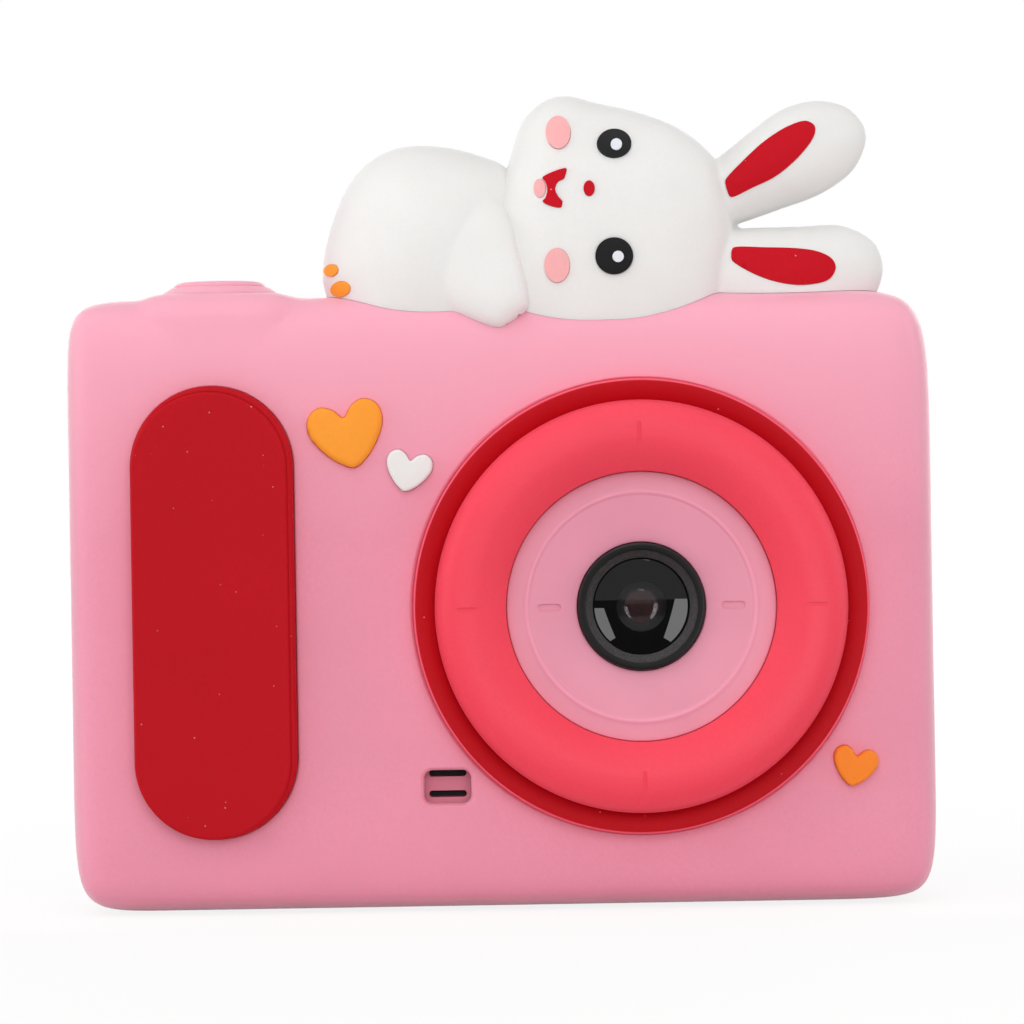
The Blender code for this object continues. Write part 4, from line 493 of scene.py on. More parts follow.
def make_hearts():
    finishes = {
        "heart_large": orange_silicone,
        "heart_white": white_silicone,
        "heart_small": deep_orange_silicone,
    }
    for name, sizes in HEARTS.items():
        edge = HEART_EDGE * sizes[0]
        piece = plate(name + "_inlay", heart(*sizes), SEAT, HEART_TOP, edge=edge, steps=6)
        slot = "white_silicone" if name == "heart_white" else "orange_silicone"
        finish(piece, "camera", finishes[name], slot, name)


GLASS_RADIUS, GLASS_CROWN, GLASS_TOP, GLASS_BACK = 5.05, 0.8, 18.75, 17.4
ELEMENT_RADIUS, ELEMENT_BACK, ELEMENT_RISE, ELEMENT_CURVE = 2.6, 15.5, 1.8, 0.85


def make_lens():
    lens = (LENS_X, LENS_Z)
    collar = [(14.3, SEAT), (COLLAR_RADIUS, SEAT), *arc((COLLAR_RADIUS - 0.4, 17.6), 0.4, 0, 90)]
    collar += [(23.4, 17.97), (23.0, 17.89), (22.6, 17.76), (22.2, 17.58), (21.95, COLLAR_FLOOR)]
    collar += [(14.3, COLLAR_FLOOR), (14.3, SEAT)]
    finish(turned("collar_disc", collar, lens), "camera", collar_silicone, "red_silicone", "lens_collar")
    make_ring(lens)
    make_lens_face(lens)
    barrel = [(6.75, 17.0), (6.75, 19.25), *arc((6.5, 19.25), 0.25, 0, 90, 4)]
    barrel += [(6.05, 19.5), (5.98, 19.47), (5.92, 19.3), (5.22, 18.35), (5.14, 18.2), (5.14, 17.3)]
    barrel += [(4.1, 17.3), (4.1, 11.5), (6.75, 11.5), (6.75, 15.8), (8.8, 15.8), (8.8, 17.0), (6.75, 17.0)]
    finish(turned("barrel_tube", barrel, lens), "camera", barrel_plastic, "black_plastic", "lens_barrel")
    glass = [(GLASS_RADIUS * s, GLASS_TOP - GLASS_CROWN * s * s) for s in np.linspace(0.0, 1.0, 20)]
    glass += [(GLASS_RADIUS, GLASS_BACK), (0.0, GLASS_BACK)]
    finish(turned("front_glass", glass, lens), "camera", lens_glass, "clear_glass", "lens_glass")
    dome = []
    for s in np.linspace(0.0, 1.0, 16):
        rise = ELEMENT_RISE * math.sqrt(1 - ELEMENT_CURVE * s * s)
        dome.append((ELEMENT_RADIUS * s, ELEMENT_BACK + rise))
    dome += [(ELEMENT_RADIUS, ELEMENT_BACK), (0.0, ELEMENT_BACK)]
    finish(turned("inner_lens", dome, lens), "camera", coated_glass, "clear_glass", "lens_element")
    module = [(0.0, 15.45), (2.7, 15.45), (2.9, 16.0), (3.3, 16.1), (3.7, 16.0), (3.8, 15.8), (3.8, 11.2)]
    module += [(5.85, 11.2), (6.0, 11.05), (6.0, 9.6), (0.0, 9.6), (0.0, 15.45)]
    finish(turned("module_body", module, lens), "camera", black_plastic, "black_plastic", "lens_module")


RING_MIDDLE, RING_HALF, RING_BASE, RING_RISE = 18.12, 3.78, 18.3, 3.8
RING_OUT_CURVE, RING_UP_CURVE = 0.75, 0.8
RING_DIP, RING_DIP_CURVE = 1.9, 1.7
COLLAR_FLOOR = 17.4
RING_MARK, RING_MARK_REACH, RING_MARK_FLOOR = (2.3, 0.42), 18.4, 21.91
FACE_MARK, FACE_MARK_REACH, FACE_MARK_FLOOR = (2.5, 0.8), 9.75, 18.48


def make_ring(lens):
    """The coral ring: a round outer edge, a gentle fall to the lens and a faint mark at each quarter."""
    profile = [(RING_MIDDLE + RING_HALF, COLLAR_FLOOR)]
    for angle in np.linspace(0.0, math.pi / 2, 17):
        across = RING_HALF * max(math.cos(angle), 0.0) ** RING_OUT_CURVE
        profile.append((RING_MIDDLE + across, RING_BASE + RING_RISE * math.sin(angle) ** RING_UP_CURVE))
    for share in np.linspace(0.0, 1.0, 15)[1:]:
        dip = RING_DIP * share**RING_DIP_CURVE
        profile.append((RING_MIDDLE - RING_HALF * share, RING_BASE + RING_RISE - dip))
    profile.append((RING_MIDDLE - RING_HALF, COLLAR_FLOOR))
    ring = turned("ring_dome", profile + profile[:1], lens)
    marks = []
    for turn in range(4):
        angle = turn * math.pi / 2
        size = RING_MARK if turn % 2 == 0 else RING_MARK[::-1]
        reach_x, reach_z = RING_MARK_REACH * math.cos(angle), RING_MARK_REACH * math.sin(angle)
        outline = pill(*size, (lens[0] + reach_x, lens[1] + reach_z), 8)
        marks.append(plate(f"ring_mark_{turn}", outline, RING_MARK_FLOOR, 24.0))
    cut(ring, *marks)
    finish(ring, "camera", coral_silicone, "coral_silicone", "lens_ring")


def make_lens_face(lens):
    """The recessed disc round the barrel: a flat middle, a fine bead and a band that climbs to the ring."""
    profile = [(6.82, 17.3), (14.29, 17.3), (14.29, 18.8), (14.2, 18.88), (14.0, 18.88), (13.5, 18.83)]
    profile += [(12.8, 18.82), (12.5, 18.84), (12.38, 18.88), (12.25, 18.92), (12.12, 18.92), (12.0, 18.87)]
    profile += [(11.9, 18.78), (11.8, 18.71), (11.7, 18.7), (7.0, 18.7)]
    profile += [(6.88, 18.66), (6.82, 18.55), (6.82, 17.3)]
    face = turned("face_disc", profile, lens)
    for side in (-1, 1):
        outline = pill(*FACE_MARK, (lens[0] + side * FACE_MARK_REACH, lens[1]), 10)
        cut(face, plate("face_mark", outline, FACE_MARK_FLOOR, 20.0))
    finish(face, "camera", face_plastic, "pink_plastic", "lens_face")


def make_shutter():
    """The shutter button: a low cap with a groove round its crown, on a stem with a stop flange."""
    profile = [(0.0, 67.8), (3.6, 67.8), (4.1, 67.78), (4.5, 67.68), (4.8, 67.5), (4.93, 67.34)]
    profile += [(4.93, 67.1), (5.02, 67.05), (5.12, 67.2), (5.4, 67.08), (5.75, 66.86), (6.05, 66.66)]
    profile += [(6.22, 66.54), (6.25, 66.45), (6.25, 66.05), (6.15, 65.95), (2.0, 65.95), (2.0, 61.5)]
    profile += [(3.4, 61.5), (3.4, 60.3), (2.0, 60.3), (2.0, 58.3), (0.0, 58.3)]
    button = turned("shutter_cap", profile, (SHUTTER_X, SHUTTER_Y), "top")
    finish(button, "shutter", pink_silicone, "pink_silicone", "shutter_button")


# The back: panel, screen, keys and screws

# Each key's radius, and its place from the middle of the pad
KEYS = {
    "ok": (3.4, 0.0, 0.0),
    "up": (2.8, 0.0, 8.2),
    "down": (2.8, 0.0, -8.2),
    "left": (2.8, 8.2, 0.0),
    "right": (2.8, -8.2, 0.0),
    "mode": (2.6, 5.5, 18.5),
    "power": (2.6, -5.5, 18.5),
    "play": (2.6, 0.0, -16.0),
}
KEY_RADII = (3.4, 2.8, 2.6)
KEY_PLAY = 0.28
MARK_FLOOR, MARK_TOP = 15.9, 17.5
SCREWS = [(x, z) for z in (9.5, 56.4) for x in (-37.6, 37.6)]
BOSS_RADIUS, SCREW_HOLE_RADIUS = 3.0, 1.2
PANEL_FACE = 15.6
PANEL_RIM = 1.6
CASE = rounded_rectangle(88.0, 60.9, 3.5, CENTRE)
CASE_ROOM = rounded_rectangle(84.8, 57.7, 1.9, CENTRE)
USB_PORT, CARD_SLOT = (4.9, 21.7), (5.25, 40.2)


def seen_from_back(x, z):
    """A place on the back, as the outline drawn on a piece that faces backwards has it."""
    return -x, z


def make_back_shell():
    """The case's back half: a raised panel with seats for screen and screws and holes for the keys."""
    width, height = 2 * PANEL_HALF, PANEL_HIGH - PANEL_LOW
    panel = rounded_rectangle(width, height, 4.0, CENTRE)
    shell = plate("back_shell", CASE, 8.15, 14.1, "back", edge=1.0)
    cut(shell, plate("case_room", CASE_ROOM, 7.0, 12.5, "back"))
    combine(shell, "UNION", plate("panel_plate", panel, 12.9, PANEL_FACE, "back", edge=0.5))
    floor = rounded_rectangle(width - 2 * PANEL_RIM, height - 2 * PANEL_RIM, 2.4, CENTRE)
    cut(shell, plate("panel_room", floor, 11.5, 13.4, "back"))
    corners = [seen_from_back(x, z) for x, z in SCREWS]
    tubes = [plate("tube", circle(BOSS_RADIUS, corner, 40), 8.3, 14.0, "back") for corner in corners]
    combine(shell, "UNION", *tubes)
    screen = seen_from_back(SCREEN_X, MIDDLE)
    seat = rounded_rectangle(44.5, 36.5, 2.2, screen)
    tools = [pocket_tool("window_seat", seat, 14.1, PANEL_FACE, 0.25, "back")]
    for name, (radius, x, z) in KEYS.items():
        hole = circle(radius + KEY_PLAY, seen_from_back(KEY_X + x, PAD_Z + z), 64)
        tools.append(pocket_tool(name + "_hole", hole, 11.0, PANEL_FACE, 0.3, "back"))
    for corner in corners:
        tools.append(pocket_tool("head_seat", circle(2.2, corner, 48), 13.2, PANEL_FACE, 0.25, "back"))
    cut(shell, *tools)
    holes = [plate("window_hole", rounded_rectangle(41.6, 33.6, 2.0, screen), 12.0, 17.0, "back")]
    for corner in corners:
        holes.append(plate("screw_hole", circle(SCREW_HOLE_RADIUS, corner, 32), 7.0, 14.0, "back"))
    cut(shell, *holes)
    finish(shell, "camera", panel_plastic, "pink_plastic", "rear_shell", weighted=True)
    window = rounded_rectangle(44.0, 36.0, 2.0, screen)
    piece = plate("screen_glass", window, 14.4, 15.5, "back", edge=0.2)
    finish(piece, "camera", screen_glass, "clear_glass", "screen_window", weighted=True)


def make_front_shell():
    """The case's front half: a soft-edged tray with the lens tube, two sound slots and the port openings."""
    shell = plate("front_tray", CASE, -7.85, 13.5, edge=3.0)
    cut(shell, plate("front_room", CASE_ROOM, -9.0, 11.9, edge=1.4))
    lens = (LENS_X, LENS_Z)
    combine(shell, "UNION", tube("lens_tube", 12.5, 14.0, 12.6, 17.0, lens))
    fence = tube("speaker_fence", 6.8, 7.8, 9.9, 12.6, (SPEAKER_X, SOUND_Z), steps=64)
    combine(shell, "UNION", fence)
    shelf_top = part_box("shutter_board")[0][2] / MM - 0.3
    shelf = rounded_rectangle(10.0, 12.8, 0.5, (SHUTTER_X, -6.3), 4)
    combine(shell, "UNION", plate("switch_shelf", shelf, shelf_top - 1.4, shelf_top, "top"))
    for x, z in SCREWS:
        combine(shell, "UNION", plate("boss", circle(BOSS_RADIUS, (x, z), 40), -6.5, 12.6))
        cut(shell, plate("pilot", circle(SCREW_HOLE_RADIUS, (x, z), 24), -8.0, -2.2))
    holes = [plate("tube_hole", circle(12.5, lens), 11.0, 18.0)]
    for lift in (-1.1, 1.1):
        slot = pill(4.0, 0.7, (SPEAKER_X, SOUND_Z + lift), 8)
        holes.append(pocket_tool("sound_slot", slot, 11.0, 13.5, 0.1))
    holes.append(plate("stem_room", circle(2.6, (SHUTTER_X, SHUTTER_Y), 40), 58.0, 65.0, "top"))
    holes.append(plate("usb_room", pill(3.8, 9.5, USB_PORT, 10), 41.0, 45.0, "side"))
    holes.append(plate("card_room", rounded_rectangle(1.7, 11.8, 0.3, CARD_SLOT, 4), 41.0, 45.0, "side"))
    cut(shell, *holes)
    finish(shell, "camera", case_plastic, "pink_plastic", "front_shell", weighted=True)


ARROWS = {
    "up": ((0, 1), 1.25),
    "down": ((0, -1), 1.25),
    "left": ((-1, 0), 1.25),
    "right": ((1, 0), 1.25),
    "play": ((1, 0), 1.2),
}
ARROW_BLUNTNESS = 0.12


def arrow(middle, toward, size):
    """A triangle that points one way."""
    turn = math.atan2(toward[1], toward[0])
    angles = [turn, turn + math.radians(130), turn - math.radians(130)]
    corners = [(middle[0] + size * math.cos(a), middle[1] + size * math.sin(a)) for a in angles]
    points = []
    for i, corner in enumerate(corners):
        for other in (corners[i - 1], corners[(i + 1) % 3]):
            points.append(tuple(corner[k] + ARROW_BLUNTNESS * (other[k] - corner[k]) for k in range(2)))
    return points


def key_marks(name, middle):
    """What is sunk into a key's top: an arrow, a ring or three bars."""
    depth = (MARK_FLOOR, MARK_TOP)
    if name in ARROWS:
        return [plate("mark", arrow(middle, *ARROWS[name]), *depth, "back")]
    if name == "power":
        return [tube("mark", 0.85, 1.2, *depth, middle, "back", 48)]
    if name == "ok":
        return [tube("mark", 1.5, 1.85, *depth, middle, "back", 64)]
    bars = [pill(1.9, 0.32, (middle[0], middle[1] + lift), 6) for lift in (-0.65, 0.0, 0.65)]
    return [plate("mark", bar, *depth, "back") for bar in bars]


def key_blank(radius):
    """A key without its mark: a dished top, a round edge, a flange and a stem."""
    profile = [(0.0, 16.28), (radius * 0.5, 16.3), (radius * 0.8, 16.36)]
    profile += [(radius - 0.5, 16.4), *arc((radius - 0.4, 16.0), 0.4, 80, 0, 5), (radius, 13.1)]
    profile += [(radius + 0.8, 13.1), (radius + 0.8, 12.3), (1.4, 12.3), (1.4, 10.0), (0.0, 10.0)]
    return turned("key_blank", profile, (0.0, 0.0), "back", 72)


def make_keys():
    blanks = {radius: key_blank(radius) for radius in KEY_RADII}
    for name, (radius, x, z) in KEYS.items():
        key = twin(blanks[radius], f"{name}_key", KEY_X + x, PAD_Z + z)
        cut(key, *key_marks(name, seen_from_back(KEY_X + x, PAD_Z + z)))
        finish(key, f"{name}_button", key_plastic, "white_plastic", f"key_{name}")
    for blank in blanks.values():
        bpy.data.objects.remove(blank)


def make_screws():
    """One cross-head screw, copied to the other corners."""
    first_x, first_z = SCREWS[0]
    middle = seen_from_back(first_x, first_z)
    profile = [(0.0, 14.8), (1.3, 14.78), (1.65, 14.66), (1.85, 14.4), (1.9, 14.1), (1.9, 13.5), (0.9, 13.5)]
    profile += [(0.9, 3.4), (0.0, 2.5)]
    screw = turned("screw_1", profile, middle, "back", 48)
    cross = plate("cross_bar", pill(2.1, 0.5, middle, 4), 14.1, 15.5, "back")
    combine(cross, "UNION", plate("cross_arm", pill(0.5, 2.1, middle, 4), 14.1, 15.5, "back"))
    screws = [cut(screw, cross)]
    for number, (x, z) in enumerate(SCREWS[1:], 2):
        screws.append(twin(screw, f"screw_{number}", x - first_x, z - first_z))
    for number, piece in enumerate(screws, 1):
        finish(piece, "camera", screw_steel, "steel", f"case_screw_{number}")


# The port side


def make_ports():
    """The USB port with its tongue, and the memory card with its finger groove."""
    port = plate("usb_shell", pill(3.2, 8.9, USB_PORT, 10), 36.3, 43.6, "side", edge=0.12, steps=3)
    cut(port, plate("usb_room", pill(2.5, 8.2, USB_PORT, 10), 38.0, 45.0, "side"))
    tongue = rounded_rectangle(0.7, 6.6, 0.12, USB_PORT, 3)
    combine(port, "UNION", plate("usb_tongue", tongue, 37.6, 42.6, "side", edge=0.1, steps=2))
    finish(port, "camera", port_steel, "steel", "usb_port")
    outline = rounded_rectangle(0.9, 11.0, 0.2, CARD_SLOT, 3)
    card = plate("card_body", outline, 28.5, 43.5, "side", edge=0.15, steps=3)
    groove = pill(0.7, 6.0, (CARD_SLOT[0] + 0.5, CARD_SLOT[1]), 6)
    cut(card, plate("card_grip", groove, 41.6, 42.3, "side"))
    finish(card, "card", card_plastic, "black_plastic", "memory_card")


# The rabbit figure: outline points are millimetres across and above the sleeve's top

HEAD = [
    (8.0, 21.45), (11.0, 20.7), (16.2, 19.4), (20.7, 17.4), (24.2, 14.1), (25.6, 9.5), (25.7, 6.0),
    (25.0, 1.0), (23.0, -4.5), (18.0, -8.5), (12.0, -9.5), (5.0, -9.0), (0.0, -6.0), (-2.0, 0.0),
    (-1.2, 7.0), (0.9, 12.2), (1.9, 14.8), (3.2, 18.6), (5.6, 20.9),
]
BODY = [
    (-18.7, 2.2), (-18.2, 5.8), (-17.1, 9.3), (-15.7, 12.2), (-13.7, 14.5), (-11.0, 16.0), (-7.9, 16.4),
    (-4.7, 16.1), (-2.0, 15.4), (1.4, 13.9), (4.2, 9.0), (5.0, 2.0), (3.0, -5.0), (-3.0, -8.5),
    (-10.0, -8.5), (-15.5, -6.0), (-17.8, -1.4), (-18.4, 0.6),
]
FORELEG = [
    (-1.4, 13.2), (0.3, 10.6), (1.5, 8.95), (2.1, 7.2), (2.6, 4.7), (3.15, 2.2), (3.6, -0.4), (3.5, -1.85),
    (2.8, -2.5), (1.6, -3.35), (0.5, -3.95), (-1.3, -3.5), (-4.1, -2.2), (-5.8, -0.7), (-6.6, 1.0),
    (-6.9, 4.5), (-6.4, 8.5), (-4.6, 12.2),
]
UPPER_EAR = [
    (17.5, 8.5), (20.5, 11.5), (24.3, 14.4), (28.0, 17.3), (31.6, 19.7), (35.3, 20.5), (38.8, 19.5),
    (40.5, 16.9), (39.3, 13.3), (36.0, 10.7), (30.6, 8.7), (27.0, 7.5), (23.0, 6.3), (19.0, 6.0),
]
LOWER_EAR = [
    (17.5, 3.5), (21.0, 6.2), (27.1, 6.8), (33.2, 6.9), (37.7, 6.9), (41.1, 5.1), (42.1, 2.4), (41.4, -0.3),
    (39.5, -3.0), (33.0, -4.8), (26.0, -4.8), (20.0, -2.0),
]
UPPER_INLAY = [
    (24.9, 11.71), (25.46, 9.87), (27.84, 10.91), (30.44, 12.15), (33.17, 14.47), (34.6, 16.49),
    (34.67, 17.46), (33.82, 18.01), (31.93, 17.51), (29.32, 15.94), (26.81, 13.72),
]
LOWER_INLAY = [
    (25.58, 4.49), (25.45, 3.1), (28.22, 1.44), (31.11, 0.53), (33.69, 0.38), (35.96, 0.98), (36.62, 2.16),
    (36.21, 3.13), (34.72, 3.91), (32.57, 4.27), (29.13, 4.43),
]
MOUTH = [
    (7.89, 13.06), (6.53, 12.72), (5.31, 12.12), (5.62, 11.67), (5.83, 10.8), (5.63, 9.95), (5.27, 9.55),
    (6.1, 9.08), (7.23, 8.84), (7.38, 9.52), (6.85, 10.15), (6.6, 10.88), (6.97, 11.64), (7.6, 11.94),
]
INLAY_CORNERS, MOUTH_CORNERS = (0, 1), (0, 2, 6, 8, 9, 13)
TOE_GAPS, TOE_GAP_RADIUS = [(2.65, -2.7), (1.4, -3.65)], 0.26
ROUNDNESS = 2.4
SKIN_VOXEL = 0.26


def tightened(points, corners, reach):
    """The points with two more close beside each corner, where a curve through them then turns sharply."""
    made = []
    for i, point in enumerate(points):
        if i not in corners:
            made.append(point)
            continue
        for other in (points[i - 1], points[(i + 1) % len(points)]):
            share = reach / math.dist(point, other)
            made.append(tuple(point[k] + share * (other[k] - point[k]) for k in range(2)))
    return made


def in_figure(points):
    return [(RABBIT_X + x, TOP + z) for x, z in points]


def oval(x, z, half_width, half_height, steps=56):
    angles = [2 * math.pi * step / steps for step in range(steps)]
    return in_figure([(x + half_width * math.cos(a), z + half_height * math.sin(a)) for a in angles])


def patch(points, corners, reach):
    return smooth_outline(in_figure(tightened(points, corners, reach)), 6)


def swell(name, points, middle_y, front, back, roundness=ROUNDNESS, lean=0.0, bow=0.0, slant=0.0):
    """A sphere whose rim follows the outline; it may lean, bow back at its top and slant sideways."""
    knots = np.array(smooth_outline(in_figure(points), 12))
    centre = (knots.min(axis=0) + knots.max(axis=0)) / 2
    loop = np.vstack([knots, knots[:1]]) - centre
    lengths = np.linalg.norm(np.diff(loop, axis=0), axis=1)
    along = np.concatenate([[0.0], np.cumsum(lengths)]) / lengths.sum()
    upright = (math.pi / 2, 0.0, 0.0)
    bpy.ops.mesh.primitive_uv_sphere_add(segments=112, ring_count=56, radius=1.0, rotation=upright)
    piece = settle(name)
    power = 2 / roundness
    for vert in piece.data.vertices:
        turn = math.atan2(vert.co.z, vert.co.x) / (2 * math.pi) % 1.0
        spread = math.hypot(vert.co.x, vert.co.z) ** power
        depth = math.copysign(abs(vert.co.y) ** power, vert.co.y) * (front if vert.co.y < 0 else back)
        across = spread * np.interp(turn, along, loop[:, 0])
        up = spread * np.interp(turn, along, loop[:, 1])
        set_back = lean * up + bow * max(up, 0.0) ** 2 - slant * across
        vert.co = (centre[0] + across, middle_y + depth + set_back, centre[1] + up)
    with editing(piece):
        close_up()
    return piece


def blended(name, passes, *forms):
    """Forms grown into one skin and smoothed where they meet."""
    skin = join(forms)
    skin.name = name
    modify(skin, "REMESH", mode="VOXEL", voxel_size=SKIN_VOXEL)
    return modify(skin, "SMOOTH", factor=0.5, iterations=passes)


def make_rabbit():
    """The rabbit: body and foreleg flow into each other, and head and ears lie behind the foreleg."""
    haunch = swell("rabbit_haunch", BODY, RABBIT_Y, 10.3, 11.0)
    foreleg = swell(
        "rabbit_foreleg", FORELEG, -12.4, 3.5, 7.0, roundness=3.2, lean=0.18, bow=0.045, slant=0.2
    )
    rabbit = blended("rabbit_skin", 12, haunch, foreleg)
    for x, z in TOE_GAPS:
        cut(rabbit, plate("toe_gap", oval(x, z, TOE_GAP_RADIUS, TOE_GAP_RADIUS, 24), 8.0, 22.0))
    head = blended(
        "rabbit_head", 6,
        swell("rabbit_face", HEAD, RABBIT_Y, 10.6, 11.0, roundness=3.4, lean=0.02),
        swell("rabbit_upper_ear", UPPER_EAR, -6.2, 5.2, 6.0),
        swell("rabbit_lower_ear", LOWER_EAR, -6.2, 6.0, 6.0),
    )
    combine(rabbit, "UNION", head)
    cut(rabbit, sleeve_form("rabbit_seat", 0.04))
    make_inlays(rabbit)
    finish(rabbit, "camera", white_silicone, "white_silicone", "rabbit_figure", angle=50)


FAR_FRONT = -40.0
INLAY_PLAY, INLAY_SINK, INLAY_EDGE = 0.03, 0.5, 0.16
INLAY_POCKET_RISE, INLAY_POCKET_SINK = 1.6, 0.6


def inlay(name, outline, target, rise, sink, edge):
    """A skin patch of the outline's shape laid on the target, with a thickness and a round rim."""
    bpy.ops.mesh.primitive_circle_add(vertices=len(outline), radius=1.0, fill_type="NGON")
    piece = settle(name)
    for vert, (x, z) in zip(piece.data.vertices, outline):
        vert.co = (x, FAR_FRONT, z)
    with editing(piece):
        bpy.ops.mesh.quads_convert_to_tris(ngon_method="BEAUTY")
        bpy.ops.mesh.subdivide(number_cuts=2)
        bpy.ops.mesh.normals_make_consistent(inside=False)
    if sum(face.normal.y for face in piece.data.polygons) > 0:
        piece.data.flip_normals()
    modify(
        piece, "SHRINKWRAP", wrap_method="PROJECT", use_project_y=True,
        use_negative_direction=False, use_positive_direction=True, target=target,
    )
    modify(piece, "SOLIDIFY", thickness=rise + sink, offset=(rise - sink) / (rise + sink))
    if edge:
        modify(piece, "BEVEL", width=edge, segments=3, limit_method="ANGLE", angle_limit=math.radians(50))
    return piece


def make_inlays(rabbit):
    """The face, ear and toe inlays: each one's outline, slot and rise above the skin."""
    spots = {
        "eye_upper": (oval(13.0, 15.6, 1.82, 1.53), "black_silicone", 0.32),
        "eye_lower": (oval(12.8, 3.6, 2.0, 1.96), "black_silicone", 0.32),
        "cheek_upper": (oval(7.1, 16.9, 1.28, 1.75), "cheek_silicone", 0.3),
        "cheek_lower": (oval(6.7, 2.7, 1.34, 1.82), "cheek_silicone", 0.3),
        "nose": (oval(10.25, 10.85, 0.58, 0.82), "red_silicone", 0.2),
        "tongue": (oval(5.0, 11.0, 0.62, 1.0), "cheek_silicone", 0.1),
        "toe_spot_upper": (oval(-17.5, 2.8, 0.75, 0.65), "orange_silicone", 0.2),
        "toe_spot_lower": (oval(-16.5, 0.75, 1.05, 0.8), "orange_silicone", 0.2),
        "mouth": (patch(MOUTH, MOUTH_CORNERS, 0.1), "red_silicone", 0.2),
        "ear_inlay_upper": (patch(UPPER_INLAY, INLAY_CORNERS, 0.22), "red_silicone", 0.1),
        "ear_inlay_lower": (patch(LOWER_INLAY, INLAY_CORNERS, 0.22), "red_silicone", 0.1),
    }
    finishes = {
        "black_silicone": black_silicone,
        "cheek_silicone": cheek_silicone,
        "red_silicone": inlay_red_silicone,
        "orange_silicone": orange_silicone,
    }
    pockets = []
    for name, (outline, _, _) in spots.items():
        room = grown(outline, INLAY_PLAY)
        pockets.append(inlay(name + "_pocket", room, rabbit, INLAY_POCKET_RISE, INLAY_POCKET_SINK, 0.0))
    for name, (outline, slot, rise) in spots.items():
        piece = inlay(name + "_spot", outline, rabbit, rise, INLAY_SINK, INLAY_EDGE)
        finish(piece, "camera", finishes[slot], slot, name, angle=50)
    for name, x, z in (("eye_glint_upper", 13.2, 15.4), ("eye_glint_lower", 13.2, 3.5)):
        glint = inlay(name + "_spot", oval(x, z, 0.6, 0.6, 32), rabbit, 0.48, 0.2, 0.2)
        finish(glint, "camera", glint_silicone, "white_silicone", name, angle=50)
    close = [pocket for pocket in pockets if pocket.name.startswith(("tongue", "toe_spot"))]
    cut(rabbit, join([pocket for pocket in pockets if pocket not in close]), *close)


# Finishes


def finish(piece, body, material, slot, *nodes, angle=35, weighted=False):
    """Shades a piece, brings it to metres, and hands it to the body it moves with."""
    activate(piece)
    bpy.ops.object.shade_smooth_by_angle(angle=math.radians(angle))
    if weighted:
        modify(piece, "WEIGHTED_NORMAL", keep_sharp=True, weight=80)
    piece.scale = (MM, MM, MM)
    activate(piece)
    bpy.ops.object.transform_apply(location=False, rotation=False, scale=True)
    piece.data.materials.clear()
    piece.data.materials.append(material)
    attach(piece, body)
    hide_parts(*nodes)


def linear(colour):
    """A colour as photographed (0 to 255) as linear values."""
    values = [channel / 255 for channel in colour]
    return [v / 12.92 if v <= 0.04045 else ((v + 0.055) / 1.055) ** 2.4 for v in values]


